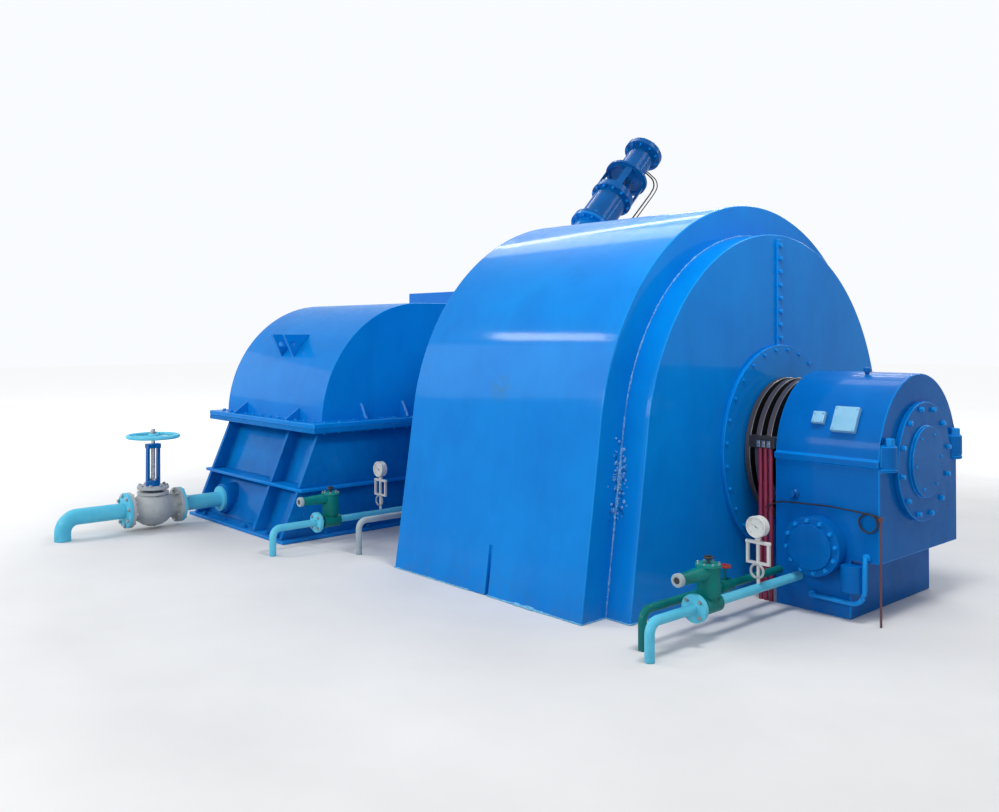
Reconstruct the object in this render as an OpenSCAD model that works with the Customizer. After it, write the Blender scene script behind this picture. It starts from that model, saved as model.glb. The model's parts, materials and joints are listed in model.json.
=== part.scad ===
// Horizontal-shaft Pelton hydroelectric generating set, at its real size in millimetres.
// +X runs along the shaft from the turbine to the outer bearing, +Y to the water inlet,
// +Z is up. The origin is on the floor, under the shaft, at the middle of the generator.

/* [Generator] */
// Radius of the hood's arch
hood_r = 1564; // [1500:1:1640]
// Length of the hood along the shaft
hood_l = 1660; // [1500:10:1800]
// Height of the shaft's axis over the floor
shaft_z = 850; // [820:5:900]
// Outward lean of the hood's sides, in degrees
side_lean = 8.7; // [6:0.1:11]
// Radius of the smaller drum that stands out of each end wall
drum_r = 1364; // [1300:1:1400]
// Length of each end drum
drum_l = 170; // [120:5:220]
// Radius of the round cover plate on each drum
cover_r = 655; // [560:5:720]
// Thickness of the round cover plate
cover_t = 24; // [16:1:40]
// Radius of the opening round the shaft
shaft_opening_r = 250; // [220:5:280]
// Width of the bolted seam strip above the round cover
seam_w = 56; // [40:2:80]
// Thickness of the seam strip
seam_t = 14; // [8:1:20]
// Place of the joint slot in the hood's foot, along the shaft
slot_x = 70; // [0:10:120]
// Width of the joint slot
slot_w = 30; // [20:2:40]
// Height of the joint slot
slot_h = 300; // [200:10:380]
// Depth of the joint slot
slot_d = 60; // [40:5:80]

/* [Shaft and slip rings] */
// Radius of the main shaft
shaft_r = 180; // [150:5:200]
// Radius of the slip rings
ring_r = 448; // [420:2:460]
// Thickness of one slip ring
ring_t = 34; // [24:1:38]
// Distance from one slip ring to the next
ring_pitch = 68; // [60:1:72]
// Distance from the round cover to the first slip ring
ring_gap = 12; // [8:1:20]
// Number of slip rings
ring_count = 3; // [2:1:3]
// Radius of the hub that carries the slip rings
ring_hub_r = 370; // [330:5:390]
// Height of the brush boxes over the shaft's axis
brush_up = 85; // [60:5:100]
// Free distance between a brush box and its ring
brush_gap = 6; // [5:0.5:10]
// Height of a brush box
brush_h = 70; // [56:2:84]
// Length of a brush box
brush_l = 20; // [16:1:26]
// Width of the bar that carries the brush boxes
bar_w = 42; // [34:2:46]
// Number of field leads
lead_count = 3; // [2:1:3]
// Radius of one red field lead
lead_r = 13; // [10:1:15]
// Distance from one field lead to the next
lead_pitch = 33; // [31:1:35]

/* [Bearings] */
// Distance from the drum's end to the bearing housing
ped_gap = 270; // [250:5:320]
// Length of a bearing housing along the shaft
ped_l = 610; // [560:5:660]
// Half width of a bearing housing, and radius of its round cap
ped_half_w = 500; // [485:5:520]
// Height of the narrower plinth under the housing
plinth_h = 330; // [280:5:360]
// Distance that the housing stands out over its plinth
plinth_set_back = 160; // [100:5:200]
// Thickness of the cap's bottom flange
cap_flange_t = 40; // [30:1:50]
// Distance that the cap's flange stands out at the sides
cap_flange_out = 16; // [10:1:24]
// Radius of the round bearing end cover
end_r = 340; // [300:5:350]
// Thickness of the bearing end cover
end_t = 30; // [22:1:34]
// Radius of the bolt bosses on the housing's outer end
ear_r = 58; // [44:1:60]
// Place of those bosses from the shaft, across it
ear_y = 425; // [410:1:440]
// Height of a boss over the split
ear_h = 120; // [90:5:140]
// Depth of a boss under the split
ear_low = 22; // [15:1:40]
// Radius of the oil cooler's round head
cooler_r = 165; // [140:5:180]
// Length of the oil cooler's round head
cooler_l = 90; // [60:5:120]
// Height of the oil cooler's axis
cooler_z = 385; // [380:1:400]
// Radius of the sump boss beside the cooler
boss_r = 60; // [50:1:66]

/* [Turbine casing] */
// Length of the turbine casing along the shaft
turb_l = 1530; // [1400:10:1600]
// Distance between the far bearing and the turbine, which the bearing's seal ring fills
turb_gap = 70; // [60:5:120]
// Length of the shaft inside the turbine
shaft_in = 350; // [300:10:500]
// Distance that the lower casing stands back from the hood's far end
casing_back = 70; // [50:5:90]
// Radius of the hood's rounded front and back
turb_arc_r = 985; // [940:5:1020]
// Half width of the turbine hood at its flange
turb_half_w = 1570; // [1530:5:1600]
// Distance that the joint flange stands out at the front and back
flange_out = 130; // [100:5:150]
// Distance that the joint flange stands out at the ends
flange_end_out = 100; // [80:5:110]
// Thickness of one half of the joint flange
flange_t = 38; // [28:1:46]
// Half width of the lower casing's wall at its top
casing_top = 1470; // [1440:5:1500]
// Half width of the lower casing's wall at the floor
casing_foot = 1820; // [1780:5:1860]
// Depth of the stiffening ribs outside that wall
rib_d = 120; // [90:5:125]
// Place of the middle rib from the casing's near end
rib_mid = 420; // [380:5:460]
// Thickness of a stiffening rib
rib_t = 36; // [24:2:44]
// Height of the stiffening shelf that runs round the casing
shelf_z = 370; // [340:5:420]
// Thickness of the shelf and of the foot plate
shelf_t = 24; // [18:1:30]
// Distance that the shelf and the foot plate stand out of the ribs
shelf_out = 10; // [5:1:20]
// Distance that the shelf and the foot plate stand out at the ends
shelf_end_out = 60; // [40:2:66]
// Distance that the tips of the lifting lugs stand out of the rounded front
lug_out = 187; // [170:1:200]
// Distance between the two lifting lugs
lug_gap = 190; // [160:5:220]
// Radius of the hole in the lifting lugs
lug_hole_r = 22; // [16:1:26]
// Height of the gusset plates at the ends of the flange
gusset_h = 130; // [100:5:150]
// Height of the gusset plates at its front and back
gusset_low_h = 95; // [80:5:120]
// Radius of the boss that the drain pipe leaves
drain_boss_r = 125; // [105:5:130]

/* [Nozzle] */
// Distance of the jet's axis from the shaft's axis
jet_r = 426; // [400:2:440]
// Slope of the nozzle, in degrees
nozzle_tilt = 45; // [42:0.5:48]
// Distance along the jet's axis to the seat on the hood
seat_t = 1555; // [1540:5:1580]
// Height of the seat block's flat top
seat_top_z = 1980; // [1950:5:2010]
// Width of the seat block along the shaft
seat_w = 1300; // [1200:10:1350]
// Radius of the nozzle's flange on the seat
nozzle_flange_r = 305; // [290:5:310]
// Thickness of that flange
nozzle_flange_t = 48; // [36:2:60]
// Radius of the nozzle pipe and of the water inlet
inlet_r = 230; // [210:5:240]
// Radius of the bend between the nozzle pipe and the inlet
inlet_bend_r = 420; // [380:10:460]
// Height of the water inlet's axis
inlet_z = 2330; // [2300:5:2360]
// Distance of the inlet flange's face from the shaft
inlet_y = 3380; // [3200:10:3500]
// Radius of the inlet flange
inlet_flange_r = 355; // [345:5:370]
// Radius of the water inlet's mouth
inlet_bore_r = 205; // [160:5:210]
// Depth to which the inlet is modelled open
inlet_bore_l = 400; // [200:10:600]
// Thickness of the inlet flange
inlet_flange_t = 50; // [36:2:64]
// Radius of the circle of the inlet flange's bolts
inlet_bolt_circle_r = 305; // [295:1:312]
// Radius of one bolt hole of the inlet flange
inlet_hole_r = 14; // [11:1:16]
// Number of bolts in the inlet flange
inlet_holes = 12; // [8:4:12]

/* [Needle servomotor] */
// Radius of the neck between the nozzle's bend and the servomotor
neck_r = 180; // [160:5:190]
// Free height of the servomotor's flange over the inlet pipe
servo_clear = 25; // [15:1:40]
// Radius of the servomotor's flanges
servo_flange_r = 240; // [230:2:248]
// Thickness of a servomotor flange
servo_flange_t = 36; // [28:1:44]
// Radius of the servomotor's cylinder
servo_cyl_r = 192; // [180:2:200]
// Length of the cylinder
servo_cyl_l = 500; // [460:5:540]
// Radius of the lantern
lantern_r = 232; // [215:1:240]
// Length of the lantern
lantern_l = 375; // [340:5:410]
// Thickness of the lantern's end plates
lantern_plate = 34; // [26:1:44]
// Wall thickness of the lantern's pillars
lantern_wall = 34; // [24:1:40]
// Radius of the lantern's top flange
lantern_top_r = 252; // [240:1:262]
// Width of the lantern's windows
window_w = 270; // [240:5:285]
// Radius of the head's cylinder
head_r = 155; // [145:1:165]
// Length of the head's cylinder
head_l = 390; // [350:5:420]
// Radius of the head's end flange
head_flange_r = 220; // [205:1:230]
// Thickness of the head's end flange
head_flange_t = 70; // [50:2:80]
// Radius of the needle rod
rod_r = 42; // [34:1:50]
// Travel of the needle rod
rod_stroke = 100; // [80:5:120]

/* [Drain] */
// Place of the drain pipe along the shaft
drain_x = -3100; // [-3150:5:-2950]
// Height of the drain pipe's axis
drain_z = 172; // [165:1:185]
// Radius of the drain pipe
drain_r = 62; // [50:2:68]
// Place of the gate valve
valve_y = -2440; // [-2500:10:-2380]
// Half length of the gate valve's body
valve_half_l = 215; // [190:5:230]
// Radius of the valve's flanges
valve_flange_r = 140; // [120:5:150]
// Height of the handwheel over the floor
wheel_z = 748; // [720:2:780]
// Radius of the handwheel
wheel_r = 215; // [180:5:230]
// Distance of the drain's floor end from the shaft
drain_end_y = -3160; // [-3250:10:-3100]

/* [Cooling water] */
// Height of the cooling pipe's axis
cool_z = 190; // [184:1:196]
// Radius of the cooling pipe
cool_r = 25; // [18:1:28]
// Place of the near cooling pipe from the bearing's middle, along the shaft
cool_near_x = -155; // [-160:5:-130]
// Place of the far cooling pipe from the bearing's middle, along the shaft
cool_far_x = -75; // [-100:5:-50]
// Distance that the far cooling group stands further out than the near one
far_out = 285; // [240:5:310]
// Place of the control valve from the shaft
valve_out = 1400; // [1360:5:1430]
// Radius of the control valve's bonnet
bonnet_r = 60; // [54:1:66]
// Height of the bonnet over the pipe's axis
bonnet_h = 195; // [170:5:210]
// Place of the pipe flange from the shaft
disc_out = 1520; // [1505:5:1540]
// Radius of the pipe flange
disc_r = 73; // [66:1:78]
// Place of the pressure gauge from the shaft
gauge_out = 935; // [880:5:980]
// Height of the gauge over the pipe's axis
gauge_up = 337; // [320:1:350]
// Radius of the gauge's case
gauge_r = 58; // [48:1:62]
// Place of the cooling pipe's floor end from the shaft
cool_end = 1890; // [1850:5:1930]
// Bend radius of the small pipes
cool_bend_r = 60; // [45:1:70]
// Radius of the return pipe
return_r = 22; // [16:1:24]
// Height of the near return pipe's axis
return_near_z = 200; // [180:5:220]
// Place of the near return pipe's floor end from the shaft
return_near_end = 1780; // [1740:5:1820]
// Height of the far return pipe's axis
return_far_z = 238; // [220:2:260]
// Place of the far return pipe's floor end from the shaft
return_far_end = 1680; // [1640:5:1720]
// Place of the return pipe's stop valve from the shaft
stop_out = 1060; // [1000:5:1100]

/* [Clearances] */
// Radial clearance of the shaft in its bearings
run_gap = 0.08; // [0.02:0.01:0.1]
// Radial clearance of a piece that is fixed round another
fit_gap = 0.2; // [0.1:0.05:0.3]
// Clearance of the shaft in the casing's openings
seal_gap = 8; // [6:1:12]

/* [Hidden] */
$fn = 96;

blue = "#1f7fd0";
deep_blue = "#1a66b8";
light_blue = "#4aa8dc";
green = "#1f7a5a";
steel = "#8c9196";
grey = "#9aa0a2";
dark = "#2b2d30";
red = "#a5283c";
white = "#e6e8e6";

drum_end = hood_l / 2 + drum_l;
ped_x0 = drum_end + ped_gap;
ped_x1 = ped_x0 + ped_l;
ped_mid = (ped_x0 + ped_x1) / 2;
turb_x1 = -(ped_x1 + turb_gap);
turb_x0 = turb_x1 - turb_l;
turb_mid = (turb_x0 + turb_x1) / 2;
turb_top = shaft_z + turb_arc_r;
flange_half = turb_half_w + flange_out;
notch_half = ped_half_w + 60;
casing_x0 = turb_x0 + casing_back;
shaft_end = ped_x1 - 60;
shaft_start = turb_x1 - shaft_in;

// The lower casing's wall and its ribs lean out from the flange to the floor.
casing_h = shaft_z - flange_t;
function wall_y(z) = casing_foot + (casing_top - casing_foot) * z / casing_h;

// Lays a shape drawn in the (y, z) plane along the shaft, from x0 to x1.
module along_shaft(x0, x1) {
    translate([x0, 0, 0]) rotate([90, 0, 90]) linear_extrude(x1 - x0) children();
}

// A cylinder on the shaft's axis, from x0 to x1.
module shaft_cyl(r, x0, x1) {
    translate([x0, 0, shaft_z]) rotate([0, 90, 0]) cylinder(r = r, h = x1 - x0);
}

// A cylinder that runs along Y, from y0 to y1.
module cyl_y(r, x, y0, y1, z) {
    translate([x, y0, z]) rotate([-90, 0, 0]) cylinder(r = r, h = y1 - y0);
}

// Places its children on the jet's axis, with their Z along it and x = 0 at the turbine's middle.
module on_nozzle(t = 0) {
    translate([turb_mid, 0, shaft_z]) rotate([nozzle_tilt - 90, 0, 0])
        translate([0, jet_r, t]) children();
}

// A quarter bend in the upright plane along Y: it comes in along -Y at the origin's height and
// ends pointing down, at y = -bend_r.
module floor_bend(r, bend_r) {
    translate([0, 0, -bend_r]) rotate([0, 0, -90]) rotate([90, 0, 0])
        rotate_extrude(angle = 90) translate([bend_r, 0]) circle(r, $fn = 48);
}

// A pipe that runs along -Y at height z and turns down into the floor at y_end.
module floor_pipe(r, x, y0, y_end, z, bend_r) {
    cyl_y(r, x, y_end + bend_r, y0, z);
    translate([x, y_end + bend_r, z]) floor_bend(r, bend_r);
    translate([x, y_end, 0]) cylinder(r = r, h = z - bend_r);
}

// The horseshoe section: a round arch whose sides run down to the floor with a slight lean.
// The sides start a little inside the arch, so that the two outlines cross.
module horseshoe(r) {
    inset = r - 1;
    edge = [inset * cos(side_lean), shaft_z + inset * sin(side_lean)];
    foot = edge[0] + edge[1] * tan(side_lean);
    intersection() {
        translate([0, shaft_z]) circle(r, $fn = 180);
        translate([-r, shaft_z / 2]) square([2 * r, r + shaft_z / 2]);
    }
    polygon([[-foot, 0], [foot, 0], edge, [-edge[0], edge[1]]]);
}

module generator_hood() {
    foot_y = hood_r / cos(side_lean) + shaft_z * tan(side_lean);
    color(blue) difference() {
        along_shaft(-hood_l / 2, hood_l / 2) horseshoe(hood_r);
        shaft_cyl(shaft_opening_r, -hood_l / 2 - 1, hood_l / 2 + 1);
        for (side = [-1, 1])
            translate([slot_x - slot_w / 2, side * foot_y - slot_d, -1])
                cube([slot_w, 2 * slot_d, slot_h + 1]);
    }
}

module end_drum(side) {
    x0 = side > 0 ? hood_l / 2 : -drum_end;
    color(blue) difference() {
        along_shaft(x0, x0 + drum_l) horseshoe(drum_r);
        shaft_cyl(shaft_opening_r, x0 - 1, x0 + drum_l + 1);
    }
}

module end_cover(side) {
    x0 = side > 0 ? drum_end : -drum_end - cover_t;
    seam_x = side > 0 ? drum_end : -drum_end - seam_t;
    color(deep_blue) difference() {
        union() {
            shaft_cyl(cover_r, x0, x0 + cover_t);
            translate([seam_x, -seam_w / 2, shaft_z]) cube([seam_t, seam_w, drum_r - 30]);
        }
        shaft_cyl(shaft_r + run_gap, -drum_end - 2 * cover_t, drum_end + 2 * cover_t);
    }
}

module main_shaft() {
    color(steel) shaft_cyl(shaft_r, shaft_start, shaft_end);
}

ring_x0 = drum_end + cover_t + ring_gap;
ring_len = (ring_count - 1) * ring_pitch + ring_t;
ring_foot = 4;

module slip_rings() {
    color(dark) difference() {
        union() {
            shaft_cyl(ring_hub_r, ring_x0, ring_x0 + ring_len + ring_foot);
            for (i = [0 : ring_count - 1])
                shaft_cyl(ring_r, ring_x0 + i * ring_pitch, ring_x0 + i * ring_pitch + ring_t);
        }
        shaft_cyl(shaft_r + fit_gap, ring_x0 - 1, ring_x0 + ring_len + ring_foot + 1);
    }
}

brush_z = shaft_z + brush_up;
brush_near = brush_up - brush_h / 2;
brush_y = -sqrt(pow(ring_r, 2) - pow(brush_near, 2)) - brush_gap;
bar_y0 = brush_y - brush_l - bar_w;
bar_x0 = ring_x0 + ring_pitch;
lead_end_gap = 22;

// A bar on the near bearing's cap carries one brush box beside each of the outer rings.
module brush_gear() {
    color(dark) {
        translate([bar_x0, bar_y0, brush_z - brush_h / 2]) cube([ped_x0 - bar_x0, bar_w, brush_h]);
        for (i = [1 : ring_count - 1])
            translate([ring_x0 + i * ring_pitch, bar_y0 + bar_w, brush_z - brush_h / 2])
                cube([ring_t, brush_l, brush_h]);
    }
}

// The leads hang from the bar's underside down to the floor.
module field_leads() {
    color(red) for (i = [0 : lead_count - 1])
        translate([ped_x0 - lead_end_gap - lead_r - i * lead_pitch, bar_y0 + bar_w / 2, 0])
            cylinder(r = lead_r, h = brush_z - brush_h / 2, $fn = 32);
}

// The bolt bosses on the housing's outer end, from height z up.
module ears(z, h) {
    for (side = [-1, 1]) {
        translate([ped_x1, side * ear_y, z]) cylinder(r = ear_r, h = h);
    }
}

// The lower half of a bearing housing on its plinth, for the near end.
module pedestal_shape(open_end) {
    difference() {
        union() {
            translate([ped_x0, -ped_half_w, 0])
                cube([ped_l - plinth_set_back, 2 * ped_half_w, plinth_h]);
            translate([ped_x0, -ped_half_w, plinth_h])
                cube([ped_l, 2 * ped_half_w, shaft_z - plinth_h]);
            ears(shaft_z - ear_low, ear_low);
        }
        shaft_cyl(shaft_r + run_gap, ped_x0 - 1, open_end ? ped_x1 + 1 : shaft_end + 20);
    }
}

module cap_shape(open_end) {
    difference() {
        union() {
            intersection() {
                shaft_cyl(ped_half_w, ped_x0, ped_x1);
                translate([ped_x0 - 1, -ped_half_w - 1, shaft_z])
                    cube([ped_l + 2, 2 * ped_half_w + 2, ped_half_w + 2]);
            }
            translate([ped_x0, -ped_half_w - cap_flange_out, shaft_z])
                cube([ped_l, 2 * (ped_half_w + cap_flange_out), cap_flange_t]);
            ears(shaft_z, ear_h);
        }
        shaft_cyl(shaft_r + run_gap, ped_x0 - 1, open_end ? ped_x1 + 1 : shaft_end + 20);
    }
}

module pedestal_near() { color(blue) pedestal_shape(false); }
module pedestal_far() { color(blue) mirror([1, 0, 0]) pedestal_shape(true); }
module cap_near() { color(blue) cap_shape(false); }
module cap_far() { color(blue) mirror([1, 0, 0]) cap_shape(true); }

cover_tilt = 61;
cover_thick = 28;
cover_sunk = 30;
small_cover = 72;
small_cover_x = -60;
wide_cover_l = 140;
wide_cover_h = 150;
wide_cover_x = 95;

// A small cover plate on a cap's round side: w along the shaft, h round the cap.
module cap_plate(x, w, h) {
    translate([x, 0, shaft_z]) rotate([cover_tilt, 0, 0])
        translate([-w / 2, -h / 2, ped_half_w - cover_sunk]) cube([w, h, cover_sunk + cover_thick]);
}

module cap_covers() {
    color(light_blue) difference() {
        union() for (side = [-1, 1]) {
            cap_plate(side * (ped_mid + small_cover_x), small_cover, small_cover);
            cap_plate(side * (ped_mid + wide_cover_x), wide_cover_l, wide_cover_h);
        }
        shaft_cyl(ped_half_w + fit_gap, -ped_x1 - 1, ped_x1 + 1);
    }
}

end_hub_part = 0.6;
end_hub_t = 20;

module bearing_end_near() {
    color(blue) {
        shaft_cyl(end_r, ped_x1, ped_x1 + end_t);
        shaft_cyl(end_r * end_hub_part, ped_x1 + end_t, ped_x1 + end_t + end_hub_t);
    }
}

// The far bearing's seal ring reaches to the turbine's wall.
module bearing_end_far() {
    color(blue) difference() {
        shaft_cyl(end_r, turb_x1, -ped_x1);
        shaft_cyl(shaft_r + seal_gap, turb_x1 - 1, -ped_x1 + 1);
    }
}

cooler_in = 40;
cooler_rim = 40;
cooler_face = 20;
boss_out = 15;
boss_z0 = 165;
boss_h = 145;
plinth_x1 = ped_x1 - plinth_set_back;

// The oil cooler's round head on a housing's front side, and the sump pot at its plinth's corner.
module cooler(side) {
    x = side * (ped_mid - cooler_in);
    boss_x = side * (plinth_x1 + boss_out);
    face = -ped_half_w - cooler_l;
    color(blue) {
        cyl_y(cooler_r, x, face, -ped_half_w, cooler_z);
        cyl_y(cooler_r - cooler_rim, x, face - cooler_face, face, cooler_z);
        difference() {
            translate([boss_x, -ped_half_w - boss_out, boss_z0]) cylinder(r = boss_r, h = boss_h);
            translate([side > 0 ? 0 : -plinth_x1, -ped_half_w, 0]) cube([plinth_x1, ped_half_w, plinth_h]);
        }
    }
}

drain_boss_y = -wall_y(0) - 10;
end_step = 60;

// The lower casing's body, with its leaning front and back.
module casing_block() {
    along_shaft(casing_x0, turb_x1)
        polygon([[-casing_foot, 0], [casing_foot, 0], [casing_top, casing_h], [-casing_top, casing_h]]);
}

module turbine_casing() {
    color(deep_blue) difference() {
        union() {
            casing_block();
            difference() {
                translate([turb_x0 - flange_end_out, -flange_half, casing_h])
                    cube([turb_l + 2 * flange_end_out, 2 * flange_half, flange_t]);
                translate([turb_x1, -notch_half, casing_h - 1])
                    cube([flange_end_out + 1, 2 * notch_half, flange_t + 2]);
            }
            cyl_y(drain_boss_r, drain_x, drain_boss_y, 0, drain_z);
        }
        shaft_cyl(shaft_r + seal_gap, shaft_start - end_step, turb_x1 + 1);
    }
}

// A level plate round the lower casing from height z up, open where the far bearing stands.
module round_plate(z) {
    half = wall_y(z) + rib_d + shelf_out;
    difference() {
        translate([casing_x0 - shelf_end_out, -half, z])
            cube([turb_x1 - casing_x0 + 2 * shelf_end_out, 2 * half, shelf_t]);
        casing_block();
        translate([turb_x1 - 1, -notch_half, z - 1]) cube([shelf_end_out + 2, 2 * notch_half, shelf_t + 2]);
        cyl_y(drain_boss_r + fit_gap, drain_x, -casing_foot, 0, drain_z);
    }
}

rib_xs = [casing_x0, turb_x1 - rib_mid - rib_t, turb_x1 - rib_t];

// The ribs of one leaning side.
module rib_side() {
    for (x = rib_xs)
        along_shaft(x, x + rib_t)
            polygon([[casing_foot, 0], [casing_foot + rib_d, 0],
                     [casing_top + rib_d, casing_h], [casing_top, casing_h]]);
}

module casing_ribs() {
    color(blue) difference() {
        union() {
            rib_side();
            mirror([0, 1, 0]) rib_side();
        }
        for (z = [0, shelf_z])
            translate([casing_x0 - 1, -2 * casing_foot, z])
                cube([turb_x1 - casing_x0 + 2, 4 * casing_foot, shelf_t]);
    }
}

module casing_shelf() {
    color(blue) for (z = [0, shelf_z]) round_plate(z);
}

arc_y = turb_half_w - turb_arc_r;

// The hood's section: a quarter circle at each side and a flat top between them.
module hood_section(grow = 0) {
    r = turb_arc_r + grow;
    intersection() {
        union() {
            for (side = [-1, 1]) translate([side * arc_y, shaft_z]) circle(r, $fn = 144);
            translate([-arc_y, shaft_z]) square([2 * arc_y, r]);
        }
        translate([-turb_half_w - grow, shaft_z]) square([2 * (turb_half_w + grow), r]);
    }
}

function on_jet(t, s) = [
    jet_r * sin(nozzle_tilt) + t * cos(nozzle_tilt) - s * sin(nozzle_tilt),
    shaft_z - jet_r * cos(nozzle_tilt) + t * sin(nozzle_tilt) + s * cos(nozzle_tilt)
];

seat_front_y = 420;
seat_depth = 300;
seat_low = -310;
seat_sunk = 120;

// The seat block's section, with its slanted face square to the jet's axis.
module seat_section() {
    face_sum = on_jet(seat_t, 0)[0] + on_jet(seat_t, 0)[1] * tan(nozzle_tilt);
    low = on_jet(seat_t, seat_low);
    back = on_jet(seat_t - seat_depth, seat_low);
    polygon([[seat_front_y, turb_top - seat_sunk], [seat_front_y, seat_top_z],
             [face_sum - seat_top_z * tan(nozzle_tilt), seat_top_z], low, back]);
}

module turbine_hood() {
    color(blue) difference() {
        union() {
            along_shaft(turb_x0, turb_x1) hood_section();
            difference() {
                translate([turb_x0 - flange_end_out, -flange_half, shaft_z])
                    cube([turb_l + 2 * flange_end_out, 2 * flange_half, flange_t]);
                translate([turb_x1, -notch_half, shaft_z - 1])
                    cube([flange_end_out + 1, 2 * notch_half, flange_t + 2]);
            }
        }
        shaft_cyl(shaft_r + seal_gap, shaft_start - end_step, turb_x1 + 1);
        along_shaft(turb_mid - seat_w / 2, turb_mid + seat_w / 2) seat_section();
    }
}

module nozzle_seat() {
    color(blue) along_shaft(turb_mid - seat_w / 2, turb_mid + seat_w / 2) seat_section();
}

gusset_t = 24;
gusset_z = shaft_z + flange_t;
gusset_edge = 12;
gusset_back = 15;

// One triangular gusset of height h, drawn in the (y, z) plane with its upright edge at y = 0.
module gusset(out, h) {
    linear_extrude(gusset_t) polygon([[0, 0], [out, 0], [out, gusset_edge], [gusset_edge, h], [0, h]]);
}

gusset_front_x = 425;
gusset_in = 20;
gusset_end_y = [780, 1200];

module hood_gussets() {
    color(blue) difference() {
        for (side = [-1, 1]) {
            for (y = gusset_end_y, end = [0, 1])
                translate([end == 0 ? turb_x0 : turb_x1, side * y, gusset_z])
                    rotate([90, 0, end == 0 ? 180 : 0]) translate([0, 0, -gusset_t / 2])
                        gusset(flange_end_out - gusset_back, gusset_h);
            for (x = [-gusset_front_x, gusset_front_x])
                translate([turb_mid + x, side * (turb_half_w - gusset_in), gusset_z])
                    rotate([90, 0, side * 90]) translate([0, 0, -gusset_t / 2])
                        gusset(gusset_in + flange_out - gusset_back, gusset_low_h);
        }
        along_shaft(turb_x0, turb_x1) hood_section(fit_gap);
    }
}

lug_t = 30;
lug_tip_angle = 52.1;
lug_top_angle = 34.6;
lug_low_angle = 59.3;
lug_hole_angle = 52.7;
lug_hole_out = 71;
lug_top_sunk = 110;
lug_low_sunk = 45;

// A point at a height over the hood's rounded front and an angle from the upright, as (y, z).
function over_front(out, angle) = [-(turb_arc_r + out) * sin(angle), (turb_arc_r + out) * cos(angle)];

// Two triangular lifting lugs on the hood's rounded front, square to the shaft.
module hood_lugs() {
    hole = over_front(lug_hole_out, lug_hole_angle);
    color(blue) difference() {
        for (side = [-1, 1])
            translate([turb_mid + side * lug_gap / 2 - lug_t / 2, -arc_y, shaft_z])
                rotate([90, 0, 90]) linear_extrude(lug_t)
                    polygon([over_front(-lug_top_sunk, lug_top_angle), over_front(lug_out, lug_tip_angle),
                             over_front(-lug_low_sunk, lug_low_angle)]);
        translate([turb_mid - lug_gap, -arc_y + hole[0], shaft_z + hole[1]])
            rotate([0, 90, 0]) cylinder(r = lug_hole_r, h = 2 * lug_gap);
        along_shaft(turb_x0, turb_x1) hood_section(fit_gap);
    }
}

function jet_point(t) = [on_jet(t, 0)[0], on_jet(t, 0)[1]];

// Where the nozzle's axis meets the height of the inlet, and the bend's length on both sides of it.
cross_t = (inlet_z - shaft_z + jet_r * cos(nozzle_tilt)) / sin(nozzle_tilt);
cross_y = jet_point(cross_t)[0];
bend_cut = inlet_bend_r * tan(nozzle_tilt / 2);
servo_t = (inlet_z + inlet_r + servo_clear + servo_flange_r * cos(nozzle_tilt)
           - shaft_z + jet_r * cos(nozzle_tilt)) / sin(nozzle_tilt);

module nozzle_body() {
    color(blue) difference() {
        union() {
            on_nozzle(seat_t) cylinder(r = nozzle_flange_r, h = nozzle_flange_t);
            on_nozzle(seat_t) cylinder(r = inlet_r, h = cross_t - bend_cut - seat_t);
            translate([turb_mid, cross_y + bend_cut, inlet_z - inlet_bend_r])
                rotate([90, 0, 90]) rotate([0, 0, 90])
                rotate_extrude(angle = nozzle_tilt) translate([inlet_bend_r, 0]) circle(inlet_r);
            cyl_y(inlet_r, turb_mid, cross_y + bend_cut, inlet_y - inlet_flange_t, inlet_z);
            on_nozzle(cross_t - bend_cut) cylinder(r = neck_r, h = servo_t - cross_t + bend_cut);
            on_nozzle(servo_t - servo_flange_t) cylinder(r = servo_flange_r, h = servo_flange_t);
        }
        cyl_y(inlet_bore_r, turb_mid, inlet_y - inlet_bore_l, inlet_y, inlet_z);
    }
}

module inlet_flange() {
    color(blue) difference() {
        cyl_y(inlet_flange_r, turb_mid, inlet_y - inlet_flange_t, inlet_y, inlet_z);
        cyl_y(inlet_bore_r, turb_mid, inlet_y - inlet_flange_t - 1, inlet_y + 1, inlet_z);
        for (i = [0 : inlet_holes - 1])
            translate([turb_mid, 0, inlet_z]) rotate([0, (i + 0.5) * 360 / inlet_holes, 0])
                cyl_y(inlet_hole_r, inlet_bolt_circle_r, inlet_y - inlet_flange_t - 1, inlet_y + 1, 0);
    }
}

cyl_t1 = servo_t + servo_cyl_l;
lantern_t1 = cyl_t1 + lantern_l;
head_t1 = lantern_t1 + head_l;
head_foot_out = 45;
rod_in = 30;
rod_end = 50;

module servo_cylinder() {
    color(blue) difference() {
        union() {
            on_nozzle(servo_t) cylinder(r = servo_flange_r, h = servo_flange_t);
            on_nozzle(servo_t) cylinder(r = servo_cyl_r, h = servo_cyl_l);
            on_nozzle(cyl_t1 - servo_flange_t) cylinder(r = servo_flange_r, h = servo_flange_t);
        }
        on_nozzle(servo_t + rod_in) cylinder(r = rod_r + run_gap, h = servo_cyl_l);
    }
}

window_end = 20;

module servo_lantern() {
    color(deep_blue) on_nozzle(cyl_t1) difference() {
        union() {
            cylinder(r = lantern_r, h = lantern_l);
            translate([0, 0, lantern_l - lantern_plate]) cylinder(r = lantern_top_r, h = lantern_plate);
        }
        translate([0, 0, lantern_plate])
            cylinder(r = lantern_r - lantern_wall, h = lantern_l - 2 * lantern_plate);
        translate([0, 0, -1]) cylinder(r = rod_r + run_gap, h = lantern_l + 2);
        for (a = [0, 90])
            rotate([0, 0, a]) translate([-lantern_r - 1, -window_w / 2, lantern_plate + window_end])
                cube([2 * lantern_r + 2, window_w, lantern_l - 2 * lantern_plate - 2 * window_end]);
    }
}

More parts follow.
